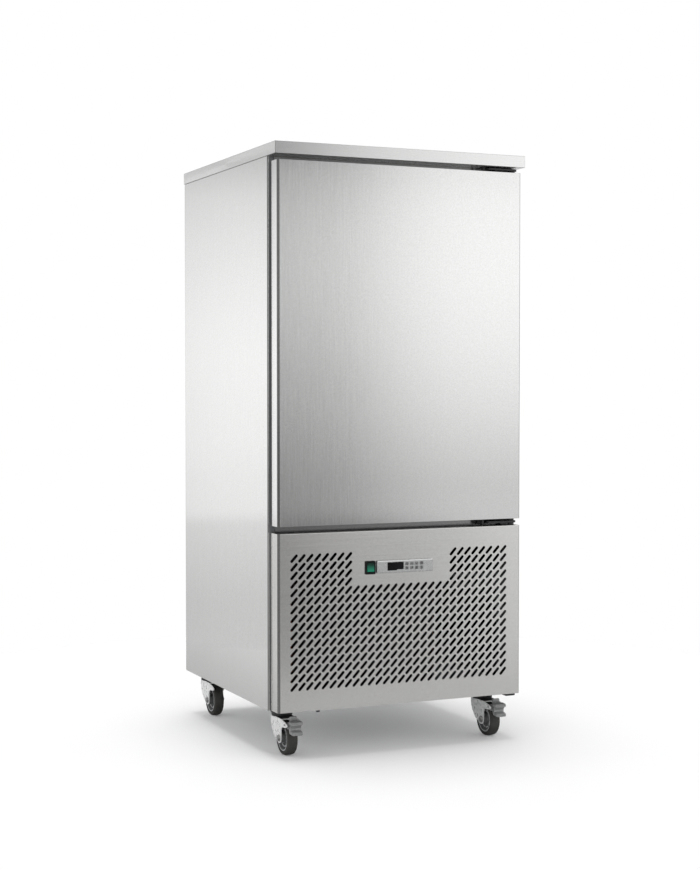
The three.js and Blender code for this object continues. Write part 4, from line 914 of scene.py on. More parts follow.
def fan_wheel(name, centre, radius):
    """Moulded fan. Blade depth is chord * tan(pitch), with pitch easing from 34 to 19 degrees outward."""
    centre = np.asarray(centre)
    hub = [(0, 1), (20, 1), (27, 2.2), (30, 5.5), (30, 23), (28, 24), (8, 24), (8, 20), (0, 20)]
    parts = [turned(np.array(hub) * MM, centre, "Y", 40)]
    share = np.linspace(0, 1, 12)[:, None]
    chord = np.linspace(-1, 1, 13)[None, :]
    r = 0.0285 + share * (radius - 0.006 - 0.0285)
    half = 0.015 + 0.015 * np.sin(share * 2.1) ** 0.8
    pitch = np.radians(34 - 15 * share)
    angle = 0.42 * share ** 1.6 + chord * half / r * np.cos(pitch)
    depth = 0.0125 - chord * half * np.sin(pitch) * 0.84 + 0.0016 * (1 - chord ** 2)
    thick = 0.0010 * (1 - 0.6 * chord ** 2) * (1.2 - 0.5 * share)
    faces = [np.stack([r * np.cos(angle), depth + side * thick, r * np.sin(angle)], -1) for side in (-1, 1)]
    blade = solid_between(*faces)
    for turn in range(5):
        points, quads = spun(blade, 2 * math.pi * turn / 5, (0, 0, 0))
        parts.append((points + centre, quads))
    piece(name + "_wheel", parts, black_plastic, name, (name,), smooth=35)


fan_wheel("condenser_fan", (-0.070, -0.1861, 0.3325), 0.145)


# ---------- chamber shell ----------
# Stainless liner with coved corners, set in foam that fills the walls, behind a front frame that
# also borders the machine compartment. Brushed stainless sheets close the sides, back and top.

def fold_group():
    """Share of turn at bends and edges: nought on upright and level faces, full half way round a bend."""
    group, _, out = new_group("folds", {}, {"Fold": "Float"})
    facing = add(group, "SeparateXYZ", {0: add(group, "TexCoord").outputs["Normal"]}).outputs
    pairs = [maths(group, "ABSOLUTE", maths(group, "MULTIPLY", facing[a], facing[b]))
             for a, b in ("XY", "YZ", "ZX")]
    total = maths(group, "ADD", maths(group, "ADD", pairs[0], pairs[1]), pairs[2])
    group.links.new(scaled(group, total, 0.10, 0.26), out["Fold"])
    return group


FOLDS = fold_group()
SHELL_X, SHELL_Y = 0.3912, (-0.328, 0.3988)
DULL = (0.035, 0.035, 0.035)


def inner_group():
    """One on faces that lie inside the outer sheets, nought on their outer faces and bends."""
    group, _, out = new_group("inner_faces", {}, {"Inner": "Float"})
    place = add(group, "SeparateXYZ", {0: add(group, "TexCoord").outputs["Object"]}).outputs
    beside = maths(group, "LESS_THAN", maths(group, "ABSOLUTE", place["X"]), SHELL_X)
    behind = maths(group, "GREATER_THAN", place["Y"], SHELL_Y[0])
    before = maths(group, "LESS_THAN", place["Y"], SHELL_Y[1])
    group.links.new(maths(group, "MULTIPLY", maths(group, "MULTIPLY", beside, behind), before), out["Inner"])
    return group


INNER_FACES = inner_group()
FLECKS = 0.18                       # how far the fine mottle of the rolled sheet moves the shade


def noise(tree, place, scale, detail, rough):
    """Cloudy noise from 0 to 1 at a place."""
    return add(tree, "TexNoise", {"Vector": place}, Scale=scale, Detail=detail, Roughness=rough).outputs[0]


def brush_group():
    """Brush marks from noise stretched along the grain: a shade about 1, a gloss offset, a height."""
    group, given, out = new_group("brush_marks", {"Vector": "Vector", "Depth": "Float", "Cloud": "Float"},
                                  {"Shade": "Float", "Gloss": "Float", "Height": "Float"})
    fine = noise(group, given["Vector"], 1.0, 4.0, 0.65)
    broad = add(group, "VectorMath", {0: given["Vector"]}, operation="SCALE", Scale=0.45).outputs[0]
    wide = noise(group, broad, 1.0, 3.0, 0.6)
    place = add(group, "TexCoord").outputs["Object"]
    mist = noise(group, place, 2.6, 3.0, 0.55)
    lines = maths(group, "SUBTRACT", maths(group, "ADD", fine, wide), 1.0)
    lines = maths(group, "MULTIPLY", lines, given["Depth"])
    cloud = maths(group, "MULTIPLY", maths(group, "SUBTRACT", mist, 0.5), given["Cloud"])
    both = maths(group, "ADD", lines, cloud)
    flecks = noise(group, place, 300.0, 1.0, 0.5)
    flecked = maths(group, "MULTIPLY_ADD", flecks, FLECKS, both)
    group.links.new(maths(group, "ADD", flecked, 1.0 - FLECKS / 2), out["Shade"])
    group.links.new(both, out["Gloss"])
    group.links.new(fine, out["Height"])
    return group


BRUSH_MARKS = brush_group()


def brushed(name, tone, stretch, rough, spread, turn="Z", depth=0.05, painted_bend_shade=0.45, shell=False):
    """Metal brushed along the axis where stretch is small. Spread blurs what it mirrors across that.
    Bends and edges are painted darker by the given share, as painted shade for the dark they mirror.
    A shell sheet's inner face is dull and dark."""
    material, tree, skin = shaded(name, 1.0, rough, Anisotropic=spread)
    place = add(tree, "TexCoord").outputs["Object"]
    stretched = add(tree, "Mapping", {"Vector": place}, Scale=stretch).outputs[0]
    marks = grouped(tree, BRUSH_MARKS, {"Vector": stretched}, Depth=depth, Cloud=0.02)
    # painted shade: bends and edges darker by their share of turn
    shade = maths(tree, "MULTIPLY_ADD", grouped(tree, FOLDS)["Fold"], -painted_bend_shade, marks["Shade"])
    colour = add(tree, "VectorMath", {"Scale": shade}, operation="SCALE", in0=tone).outputs[0]
    if shell:
        colour = tinted_by(tree, grouped(tree, INNER_FACES)["Inner"], colour, DULL)
    gloss = maths(tree, "MULTIPLY_ADD", marks["Gloss"], 0.7, rough)
    surfaced(tree, skin, colour, gloss, marks["Height"], 0.05, 0.0002)
    direction = add(tree, "Tangent", direction_type="RADIAL", axis=turn)
    tree.links.new(direction.outputs[0], skin.inputs["Tangent"])
    return material


upright_steel = brushed("steel_brushed_upright", (0.88, 0.88, 0.875), (700, 700, 14), 0.11, 1.0,
                        depth=0.09, painted_bend_shade=0.80)
shell_steel = brushed("steel_shell", (0.88, 0.88, 0.875), (700, 700, 14), 0.11, 1.0, depth=0.09,
                      painted_bend_shade=0.85, shell=True)
level_steel = brushed("steel_brushed_level", (0.92, 0.92, 0.915), (10, 700, 700), 0.18, 0.9, turn="X",
                      depth=0.10, painted_bend_shade=0.70)
# dark steel for the front frame: painted shade for the gaps round the doors, where it shows
frame_steel_shaded = brushed("steel_frame_shaded", (0.29, 0.29, 0.29), (32, 700, 700), 0.18, 0.5, turn="X", depth=0.06)
inside_steel = brushed("steel_inside", (0.74, 0.745, 0.745), (500, 500, 6), 0.3, 0.5, depth=0.04)
foam_fill = speckled("foam_fill", (0.66, 0.56, 0.32), (0.74, 0.67, 0.46), 0.0, 0.92, 40, 500, bump=0.5,
                     depth=0.0006)


def cup(outer, inner, mouth, back, floor):
    """An open box lying along Y. Its outer and inner outlines in X and Z have matching points."""
    count = len(outer)
    loops = [np.c_[inner, np.full(count, floor)], np.c_[inner, np.full(count, mouth)],
             np.c_[outer, np.full(count, mouth)], np.c_[outer, np.full(count, back)]]
    faces = grid_quads(4, count, False, True).tolist()
    faces += [list(range(count)), list(range(4 * count - 1, 3 * count - 1, -1))]
    return aimed(np.concatenate(loops), "Y"), faces


LINER_X, LINER_Z = (-0.332, 0.332), (0.697, 1.639)
LINER_MOUTH, LINER_BACK = -0.3292, 0.340
COVE = 0.015
liner = cup(rounded_within(LINER_X, LINER_Z, -SHEET, COVE + SHEET, 9), rounded(LINER_X, LINER_Z, COVE, 9),
            LINER_MOUTH, LINER_BACK + SHEET, LINER_BACK)
piece("chamber_liner", [liner], inside_steel, "cabinet", ("inner_liner",), bevel=0.0004)
copied("insulation_foam", foam_fill, "cabinet", 0)
copied("front_frame", frame_steel_shaded, "cabinet", 0.0005)


def folded(corners, sheet, radius, steps=6):
    """Outline of a bent sheet, with its thickness to the left of the path. The corners share one
    outer radius, or have one each."""
    corners = np.asarray(corners, float)
    radii = np.broadcast_to(radius, len(corners) - 2)
    ways = np.diff(corners, axis=0)
    ways /= np.linalg.norm(ways, axis=1)[:, None]
    left = np.c_[-ways[:, 1], ways[:, 0]]
    near, far = [corners[0]], [corners[0] + left[0] * sheet]
    for k in range(1, len(corners) - 1):
        a, b, radius = ways[k - 1], ways[k], radii[k - 1]
        turn = math.atan2(a[0] * b[1] - a[1] * b[0], a @ b)
        side = math.copysign(1, turn)
        centre = corners[k] - a * radius * math.tan(abs(turn) / 2) + side * radius * left[k - 1]
        for share in np.linspace(0, 1, steps):
            c, s = math.cos(turn * share), math.sin(turn * share)
            arm = -side * np.array([left[k - 1] @ (c, -s), left[k - 1] @ (s, c)])
            near.append(centre + radius * arm)
            far.append(centre + (radius - side * sheet) * arm)
    near.append(corners[-1])
    far.append(corners[-1] + left[-1] * sheet)
    return np.concatenate([near, far[::-1]])


SIDE_X = 0.392
SIDE_Y = (-0.331, 0.3982)
RETURN_X = SIDE_X - 0.0045          # where the side's front edge meets the dark strip that paints the gap's shade
SHADE_STRIP_X = SIDE_X - 0.020
SHELL = (0.135, 1.6927)
# a dark grey strip along each side's front edge: painted shade for the gap beside the door
gap_shade_grey = speckled("gap_shade_strip", (0.085, 0.087, 0.09), (0.115, 0.117, 0.12), 0.0, 0.55, 50, 1200,
                      vary=0.2)
for name, way in (("left", -1), ("right", 1)):
    path = [(way * SIDE_X, SIDE_Y[1]), (way * SIDE_X, SIDE_Y[0]), (way * RETURN_X, SIDE_Y[0])]
    front = [(way * RETURN_X, SIDE_Y[0]), (way * SHADE_STRIP_X, SIDE_Y[0])]
    if way > 0:
        path.reverse()
        front.reverse()
    piece(name + "_side_sheet", [prism(folded(path, SHEET, 0.0024), *SHELL)], shell_steel, "cabinet",
          (name + "_side_panel",), bevel=0.0003)
    piece(name + "_side_shade_strip", [prism(folded(front, SHEET, ()), *SHELL)], gap_shade_grey, "cabinet")


def round_ended(u, v, steps):
    """A level slot's outline with half-round ends."""
    return rounded(u, v, (v[1] - v[0]) / 2 * 0.999, steps)


def rear_panel():
    """Thin sheet with two columns of vents and a lined hole for the supply, held by screws."""
    outline = rounded((-SIDE_X, SIDE_X), SHELL, 0.002, 3)
    vents = [round_ended(span, (low, low + 0.008), 6) for low in 0.250 + 0.036 * np.arange(5)
             for span in ((-0.260, -0.025), (0.025, 0.260))]
    outlet = (0.300, 0.190)
    front, face, back = 0.3985, 0.3993, 0.4
    sheet = pierced(outline, vents + [circle(outlet, 0.011, 24)], front, face, "Y")
    piece("rear_sheet", [sheet], shell_steel, "cabinet", ("rear_panel",))
    head = [(0, face), (0.0042, face), (0.0040, face + 0.0003), (0.0026, back - 0.00008), (0.0012, back),
            (0, back)]
    spots = [(x, z) for x in (-0.380, 0.380) for z in np.linspace(0.170, 1.660, 7)]
    spots += [(x, z) for x in (-0.190, 0.0, 0.190) for z in (0.145, 1.682)]
    piece("rear_screws", [turned(head, (x, 0, z), "Y", 20) for x, z in spots], axle_zinc, "cabinet")
    lining = [(0.0075, 0.3955), (0.0125, 0.3955), (0.0125, 0.3983), (0.0108, 0.3984), (0.0108, 0.3994),
              (0.0135, 0.3995), (0.0132, 0.3999), (0.0085, back), (0.0075, 0.3996)]
    piece("cord_grommet", [turned(lining, (outlet[0], 0, outlet[1]), "Y", 32)], rubber, "cabinet")


rear_panel()
copied("top_slab", level_steel, "cabinet", 0.0018)


# ---------- chamber fittings ----------
# Guide panels for the trays on both sides. At the back a baffle carries two fans, which blow
# through the finned evaporator behind it.

for side in ("left", "right"):
    copied("tray_rack_" + side, inside_steel, "cabinet", 0.0004)


BAFFLE_Y = 0.112
FAN_HEIGHTS = {"lower": 0.988, "upper": 1.348}
FAN_RADIUS, FAN_MOUTH = 0.118, 0.124


def fan_baffle():
    """Sheet across the chamber with two round mouths and their collars, and each fan's motor and guard."""
    outline = rounded((-0.3317, 0.3317), (0.757, 1.579), 0.006)
    middles = {name: np.array((0.0, BAFFLE_Y, height)) for name, height in FAN_HEIGHTS.items()}
    mouths = [circle(middle[::2], FAN_MOUTH, 64) for middle in middles.values()]
    parts = [pierced(outline, mouths, BAFFLE_Y, BAFFLE_Y + SHEET, "Y")]
    collar = [(0, SHEET), (0.0015, SHEET), (0.0018, -0.0008), (0.0015, -0.016), (0, -0.016)]
    parts += [turned(np.array(collar) + (FAN_MOUTH, 0), middle, "Y", 64) for middle in middles.values()]
    piece("baffle_sheet", parts, inside_steel, "cabinet", ("fan_baffle",), bevel=0.0003)
    for name, middle in middles.items():
        motor = motor_parts(middle + (0, 0.0014, 0), FAN_MOUTH)
        guard = ring_guard(middle + (0, -0.0245, 0), np.linspace(0.024, FAN_RADIUS, 9))
        piece("motor_" + name, motor, machine_black, "cabinet", bevel=0.0003)
        piece("guard_" + name, guard, zinc, "cabinet")


fan_baffle()
for name, height in FAN_HEIGHTS.items():
    fan_wheel("evaporator_fan_" + name, (0, 0.0891, height), FAN_RADIUS)
finned_coil("evaporator", "evaporator_coil", (-0.273, 0.273), (0.196, 0.300), (0.780, 1.556), 0.3397,
            0.780, 0.0050, 24, 3, fin_metal)


# ---------- door ----------
# One tall insulated door hung on the right: a brushed skin with rolled upright edges, a pressed
# liner with a raised middle, foam between them, and a grey magnetic seal.

FACE_X, FACE_Y = 0.385, -0.391
DOOR = (0.658, 1.678)
DOOR_BACK = -0.345
BENDS = (0.008, 0.0028)             # radii of the bends at the free edge and at the hinged edge


def face_plan(inset, back):
    """Plan of a face whose upright edges are bent back, set in from the outside."""
    x, y = FACE_X - inset, FACE_Y + inset
    free, hinged = np.array(BENDS) - inset
    left = arc((-x + free, y + free), free, 180, 270, 7)
    right = arc((x - hinged, y + hinged), hinged, 270, 360, 7)
    return np.concatenate([[(-x, back)], left, right, [(x, back)]])


def door_skin():
    """Skin folded round in plan, closed above and below by end plates."""
    wrap = folded([(-FACE_X, DOOR_BACK), (-FACE_X, FACE_Y), (FACE_X, FACE_Y), (FACE_X, DOOR_BACK)], SHEET,
                  BENDS, 9)
    ends = [prism(face_plan(0.0016, DOOR_BACK), *span)
            for span in ((DOOR[0] + 0.0004, DOOR[0] + 0.0018), (DOOR[1] - 0.0018, DOOR[1] - 0.0004))]
    piece("door_sheet", [prism(wrap, *DOOR)] + ends, upright_steel, "door", ("door_skin",),
          bevel=0.0003)


door_skin()
copied("door_foam", foam_fill, "door", 0)


def door_liner():
    """Flat border round a raised middle whose edges are pressed at a radius."""
    x, z, y = (-0.3832, 0.3832), (0.6598, 1.6762), -0.3468
    rise, reach = 0.010, 0.085
    hole = rounded_within(x, z, reach, 0.015, 9)
    border = pierced(rounded(x, z, 0.002, 3), [hole], y, y + SHEET, "Y")
    steps = []
    for share in (0, 0.15, 0.5, 0.85, 1.0):
        inset = 0.0012 * share + 0.0025 * (share > 0.9) - 0.0002
        loop = rounded_within(x, z, reach + inset, 0.015, 9)
        steps.append(np.c_[loop, np.full(len(loop), y + SHEET + share * (rise - SHEET))])
    count = len(hole)
    back = [step - (0, 0, SHEET) for step in steps[::-1]]
    points = aimed(np.concatenate(steps + back), "Y")
    faces = grid_quads(10, count, False, True).tolist()
    fronts = list(range(4 * count, 5 * count))
    backs = list(range(5 * count, 6 * count))
    faces = [face for face in faces if not (set(face) & set(fronts) and set(face) & set(backs))]
    faces += [fronts, backs[::-1]]
    faces += [[k, (k + 1) % count, 9 * count + (k + 1) % count, 9 * count + k] for k in range(count)]
    piece("door_inner_pan", [border, (points, faces)], inside_steel, "door", ("door_liner",))


door_liner()
seal_grey = speckled("seal_rubber", (0.034, 0.036, 0.038), (0.055, 0.057, 0.060), 0.0, 0.62, 30, 900,
                     vary=0.2)


FRAME_FACE = -0.3313                # what seal and hinges lie against


def door_seal():
    """Bellows seal: one section carried round the door's back with mitred corners."""
    x, z = 0.366, (0.675, 1.661)
    front, lip = DOOR_BACK, FRAME_FACE
    section = [(0.000, front), (0.022, front), (0.022, front + 0.0035), (0.0195, front + 0.0050),
               (0.0200, front + 0.0068), (0.0188, front + 0.0085), (0.0190, lip - 0.0030),
               (0.0182, lip - 0.0006), (0.0170, lip), (0.0050, lip), (0.0038, lip - 0.0006),
               (0.0030, lip - 0.0030), (0.0034, front + 0.0085), (0.0020, front + 0.0068),
               (0.0026, front + 0.0050), (0.000, front + 0.0035)]
    loops = []
    for sx, sz in ((-1, 0), (1, 0), (1, 1), (-1, 1)):
        height = [z[0] + u if sz == 0 else z[1] - u for u, _ in section]
        loops.append([(sx * (x - u), y, h) for (u, y), h in zip(section, height)])
    faces = grid_quads(4, len(section), True, True).tolist()
    piece("door_bellows", [(np.array(loops).reshape(-1, 3), faces)], seal_grey, "door", ("door_seal",),
          smooth=45)


door_seal()


# ---------- hinges ----------
# Black steel brackets above, between and below the two doors. The upper two each have a leaf on the
# cabinet front (the middle one screwed), an arm out to the pin and a stop; the lowest is arm and pin only.

HINGE = (0.368, -0.368)
EYE = 0.014
LEAF_Y = (FRAME_FACE - 0.003, FRAME_FACE)


def hinge_arm():
    """Plan of an arm: rounded round the pin at the right and at its front left corner."""
    x, y = HINGE
    left = arc((0.285 + EYE, y), EYE, 180, 270, 7)
    right = arc((x, y), EYE, 270, 360, 9)
    return np.concatenate([[(0.285, FRAME_FACE)], left, right, [(x + EYE, FRAME_FACE)]])


def stepped_pin(levels):
    """Boss and pin turned about the hinge line, from (radius, height) pairs."""
    return turned(levels, (*HINGE, 0), "Z", 32)


def hinge_top():
    """Arm, leaf and pin of the door's upper hinge, with a stop on the arm's left."""
    parts = [prism(hinge_arm(), 1.6837, 1.6897), block((0.300, 0.382), LEAF_Y, (1.6667, 1.6927)),
             block((0.2722, 0.2784), (-0.3680, -0.3640), (1.6800, 1.6927)),
             stepped_pin([(0, 1.664), (0.0044, 1.664), (0.005, 1.665), (0.005, 1.6783), (0.009, 1.6783),
                          (0.009, 1.6860), (0, 1.6860)])]
    piece("hinge_top", parts, black_steel, "cabinet", ("hinge_bracket_top",), bevel=0.0007)
    # the top leaf takes the frame's dark steel, painted shade in the gap above the door
    leaf = block((0.272, 0.2997), LEAF_Y, (1.6667, 1.6927))
    piece("hinge_leaf_top", [leaf], frame_steel_shaded, "cabinet", bevel=0.0005)


def hinge_middle():
    """Arm and leaf between the two doors, whose one pin carries both."""
    parts = [prism(hinge_arm(), 0.645, 0.651), block((0.272, 0.382), LEAF_Y, (0.641, 0.667)),
             block((0.272, 0.278), (HINGE[1], FRAME_FACE), (0.640, 0.656)),
             stepped_pin([(0, 0.624), (0.0044, 0.624), (0.005, 0.625), (0.005, 0.6383), (0.009, 0.6383),
                          (0.009, 0.6577), (0.005, 0.6577), (0.005, 0.671), (0.0044, 0.672), (0, 0.672)])]
    piece("hinge_middle", parts, black_steel, "cabinet", ("hinge_bracket_middle",),
          bevel=0.0007)
    head = [(0, 0), (0.0052, 0), (0.0050, -0.0019), (0.0030, -0.0031), (0, -0.0034)]
    screws = [turned(head, (x, LEAF_Y[0], 0.6595), "Y", 24) for x in (0.2915, 0.3560)]
    piece("hinge_screws_middle", screws, axle_zinc, "cabinet")


def hinge_foot():
    """Short arm under the cabinet, with the service panel's lower pin."""
    x, y = HINGE
    plan = np.concatenate([[(0.346, -0.316), (0.346, y - EYE)], arc((x, y), EYE, 270, 360, 9),
                           [(x + EYE, -0.316)]])
    parts = [prism(plan, 0.1287, 0.1347),
             stepped_pin([(0, 0.1340), (0.009, 0.1340), (0.009, 0.1362), (0.005, 0.1362), (0.005, 0.1495),
                          (0.0044, 0.1505), (0, 0.1505)])]
    piece("hinge_foot", parts, black_steel, "cabinet", ("hinge_bracket_foot",), bevel=0.0006)


hinge_top()
hinge_middle()
hinge_foot()


# ---------- service panel ----------
# Pressed sheet folded back on all sides and hung on the right, punched with slanting round-ended
# slots except round the controls. The sheet is brushed level.

PANEL = (0.1365, 0.638)
PANEL_BACK = -0.3355
FOLD = 0.0025
SLOT_PITCH = (0.0238, 0.0241)
SLOT_FIRST = (-0.3366, 0.5685)
SLOT_COLUMNS, SLOT_ROWS = 29, 16
SLOT_SIZE = (0.0292, 0.0084)
SLOT_SLANT = math.radians(47)
PLAIN_ROWS, PLAIN_COLUMNS = 4, range(8, 21)  # left whole round the controls
SWITCH_X, SWITCH_Z = (-0.118, -0.088), (0.514, 0.552)
CONTROL_X, CONTROL_Z = (-0.083, 0.095), (0.5155, 0.5515)
panel_steel = brushed("steel_brushed_panel", (0.82, 0.815, 0.80), (5, 700, 700), 0.125, 1.0, turn="X",
                      painted_bend_shade=0.72)
# a darker copy of the panel's steel with no painted bend shade; its lower tone paints down the top fold's
# highlight
fold_steel_dimmed = brushed("steel_fold_dimmed", (0.72, 0.715, 0.70), (5, 700, 700), 0.16, 1.0, turn="X", painted_bend_shade=0.0)
stud_black = speckled("black_stud", (0.010, 0.010, 0.010), (0.02, 0.02, 0.02), 0.0, 0.4, 80, 900)


def slanted_slots():
    """Outlines of every slot, level ones turned to the slant and moved to the grid."""
    level = round_ended(*(np.array((-0.5, 0.5)) * size for size in SLOT_SIZE), 5)
    c, s = math.cos(SLOT_SLANT), math.sin(SLOT_SLANT)
    level = level @ np.array([[c, s], [-s, c]])
    return [level + (SLOT_FIRST[0] + column * SLOT_PITCH[0], SLOT_FIRST[1] - row * SLOT_PITCH[1])
            for row in range(SLOT_ROWS) for column in range(SLOT_COLUMNS)
            if not (row < PLAIN_ROWS and column in PLAIN_COLUMNS)]


JOINT_LAP = 1e-5                    # how far the edges' sheets pass the face's ends


def service_panel():
    """Punched face between rolled upright edges, with folds along its top and bottom."""
    free, hinged = -FACE_X + BENDS[0], FACE_X - BENDS[1]
    openings = [rounded_within(SWITCH_X, SWITCH_Z, 0.0022, 0.001, 3),
                rounded_within(CONTROL_X, CONTROL_Z, 0.0047, 0.001, 3)]
    face = [(free, PANEL[0]), (hinged, PANEL[0]), (hinged, PANEL[1] - FOLD), (free, PANEL[1] - FOLD)]
    parts = [pierced(face, slanted_slots() + openings, FACE_Y, FACE_Y + 0.0007, "Y")]
    left = [(-FACE_X, PANEL_BACK), (-FACE_X, FACE_Y), (free + JOINT_LAP, FACE_Y)]
    right = [(hinged - JOINT_LAP, FACE_Y), (FACE_X, FACE_Y), (FACE_X, PANEL_BACK)]
    for side, radius in zip((left, right), BENDS):
        parts.append(prism(folded(side, SHEET, radius - JOINT_LAP, 9), *PANEL))
    parts.append(prism(face_plan(0.0012, FACE_Y + 0.038), PANEL[0] + 0.0002, PANEL[0] + 0.0013))
    piece("service_sheet", parts, panel_steel, "service_panel", ("service_panel",))
    turn = np.radians(np.linspace(0, 90, 8))
    bend = np.c_[FACE_Y + FOLD * (1 - np.cos(turn)), PANEL[1] - FOLD * (1 - np.sin(turn))]
    side = np.concatenate([bend, [(FACE_Y + 0.024, PANEL[1]), (FACE_Y + 0.024, PANEL[1] - 0.0010)],
                           bend[::-1] + (0.0010, -0.0010)])
    piece("service_top_fold", [prism(side, free, hinged, "X")], fold_steel_dimmed, "service_panel", smooth=20)
    stud = [(0, 0.1310), (0.0042, 0.1311), (0.0058, 0.1322), (0.0060, 0.1367), (0, 0.1367)]
    piece("panel_stud", [turned(stud, (-0.262, -0.384, 0), steps=20)], stud_black, "service_panel")


service_panel()


# ---------- switch ----------
# Rocker switch in a black frame that clips into the panel. Its green lens is pressed at the top.

SWITCH_FRONT = -0.396
switch_black = speckled("switch_black", (0.004, 0.004, 0.0045), (0.010, 0.010, 0.011), 0.0, 0.5, 60, 1600,
                        vary=0.2, bump=0.15, Specular_IOR_Level=0.15)


def green_lens():
    """Translucent green moulding, painted brighter toward its lower, raised end, for the light that end
    catches.
    """
    material, tree, skin = shaded("green_lens", 0.0, 0.22, Specular_IOR_Level=0.3, IOR=1.49)
    place = add(tree, "SeparateXYZ", {0: add(tree, "TexCoord").outputs["Object"]}).outputs
    # painted light: lighter toward the lens's lower end
    low = scaled(tree, place["Z"], 0.543, 0.521)
    marks = grouped(tree, SPECKLE, Coarse=160.0, Fine=1500.0, Balance=0.5)
    share = maths(tree, "MULTIPLY_ADD", marks["Mixed"], 0.5, low)
    colour = tinted(tree, (0.001, 0.015, 0.010), (0.010, 0.190, 0.110), share)
    gloss = maths(tree, "MULTIPLY_ADD", marks["Grit"], 0.2, 0.22)
    surfaced(tree, skin, colour, gloss, marks["Grit"], 0.08, 0.0001)
    return material


def switch():
    """Frame with a deep well, and the lens that rocks in it, tilted by seven degrees at rest."""
    bezel = rounded(SWITCH_X, SWITCH_Z, 0.0022)
    well = rounded((SWITCH_X[0] + 0.0037, SWITCH_X[1] - 0.0037), (SWITCH_Z[0] + 0.0060, SWITCH_Z[1] - 0.0040),
                   0.0008)
    barrel = rounded_within(SWITCH_X, SWITCH_Z, 0.0025, 0.0008)
    parts = [pierced(bezel, [well], SWITCH_FRONT, FACE_Y - 0.0003, "Y"),
             cup(barrel, well, FACE_Y - 0.0006, -0.351, FACE_Y + 0.020)]
    piece("switch_frame", parts, switch_black, "service_panel", ("switch_housing",),
          bevel=0.0006)
    height = np.linspace(-0.0120, 0.0136, 15)
    front = np.c_[-0.0065 + 0.0013 * (height / 0.0136) ** 2, height]
    side = np.concatenate([front, [(0.005, 0.0129), (0.0078, 0.004), (0.0078, -0.004), (0.005, -0.0113)]])
    lens = prism(side, SWITCH_X[0] + 0.0043, SWITCH_X[1] - 0.0043, "X")
    points, faces = spun(lens, math.radians(-7), (0, 0, 0), "X")
    middle = (0, FACE_Y, (SWITCH_Z[0] + SWITCH_Z[1]) / 2)
    piece("rocker_lens", [(points + middle, faces)], green_lens(), "switch_rocker", ("switch_rocker",),
          bevel=0.0007)


switch()


# ---------- controller ----------
# Silver electronic controller: a bezel proud of the panel, a stepped dark display window, and two
# rows of four keys with outlined marks.

CONTROL_FRONT, CASE_FRONT = -0.399, -0.396
LIP = 0.0030
DISPLAY = [(-51.5, 522.8), (-21.5, 522.8), (-21.5, 525.2), (-0.5, 525.2), (-0.5, 546), (-51.5, 546)]
KEY_FIRST, KEY_PITCH, KEY_SIZE = (0.0098, 0.5402), (0.0156, 0.0122), (0.011, 0.008)
KEY_TRAVEL = 0.0010                 # room behind a key
MARK_SCALE, MARK_WIDTH = 0.00145, 0.0015
silver = speckled("silver_plastic", (0.51, 0.515, 0.515), (0.60, 0.605, 0.605), 0.8, 0.28, 60, 2600, vary=0.2,
                  bump=0.12)
# the case is dark grey: painted shade on the bezel's sides
case_grey_for_shade = speckled("case_grey_for_shade", (0.06, 0.06, 0.062), (0.10, 0.10, 0.102), 0.0, 0.5, 60, 1600, vary=0.2)
key_silver = speckled("key_silver", (0.17, 0.172, 0.175), (0.23, 0.234, 0.238), 0.1, 0.42, 70, 2400, vary=0.2)
mark_print = speckled("key_marks", (0.010, 0.010, 0.011), (0.022, 0.022, 0.023), 0.0, 0.5, 90, 2000)


def display_glass():
    """Smoked window: near black with a gloss coat and a faint darker field where the digits sit."""
    material, tree, skin = shaded("smoked_glass", 0.0, 0.12, Specular_IOR_Level=0.18)
    place = add(tree, "SeparateXYZ", {0: add(tree, "TexCoord").outputs["Object"]}).outputs
    across = scaled(tree, place["X"], -0.051, -0.001)
    marks = grouped(tree, SPECKLE, Coarse=120.0, Fine=1500.0, Balance=0.4)
    colour = tinted(tree, (0.0025, 0.0025, 0.003), (0.006, 0.006, 0.007),
                    maths(tree, "ADD", across, marks["Mixed"]))
    tree.links.new(colour, skin.inputs["Base Color"])
    tree.links.new(maths(tree, "MULTIPLY_ADD", marks["Grit"], 0.1, 0.12), skin.inputs["Roughness"])
    return material


def key_outline(column, row, grow=0.0):
    """A key's rounded outline, or that of its hole, which is larger by the same on all sides."""
    x, z = KEY_FIRST[0] + column * KEY_PITCH[0], KEY_FIRST[1] - row * KEY_PITCH[1]
    half = (KEY_SIZE[0] / 2 + grow, KEY_SIZE[1] / 2 + grow)
    return rounded((x - half[0], x + half[0]), (z - half[1], z + half[1]), 0.0016 + grow, 5)


def ribbon(path, centre, front):
    """A thin raised line along a path of (x, z) units about a centre. Stretches that meet differ by a
    hundredth of a millimetre in height, so that no two faces share a plane."""
    path = np.asarray(path, float) * MARK_SCALE + centre
    parts = []
    for count, (a, b) in enumerate(zip(path[:-1], path[1:])):
        run = (b - a) / np.linalg.norm(b - a)
        side = np.array([-run[1], run[0]]) * MARK_WIDTH / 2
        a, b = a - run * MARK_WIDTH / 3, b + run * MARK_WIDTH / 3
        proud = 0.00012 + 0.00001 * (count % 3)
        parts.append(prism([a - side, b - side, b + side, a + side], front - proud, front + 0.0001, "Y"))
    return parts


def ring_path(radius, start=0, end=360, steps=13):
    """A round stroke, or part of one, about the key's centre."""
    return arc((0, 0), radius, start, end, steps)


def sloped(outline, inner, low, edge, top):
    """A frame whose front is cut back from the inner outline to the outer one between two depths."""
    count = len(outline)
    tucked = inner.mean(0) + (inner - inner.mean(0)) * 0.999
    loops = [np.c_[outline, np.full(count, low)], np.c_[outline, np.full(count, edge)],
             np.c_[tucked, np.full(count, top)], np.c_[tucked, np.full(count, low)]]
    faces = grid_quads(4, count, True, True).tolist()
    return aimed(np.concatenate(loops), "Y"), faces


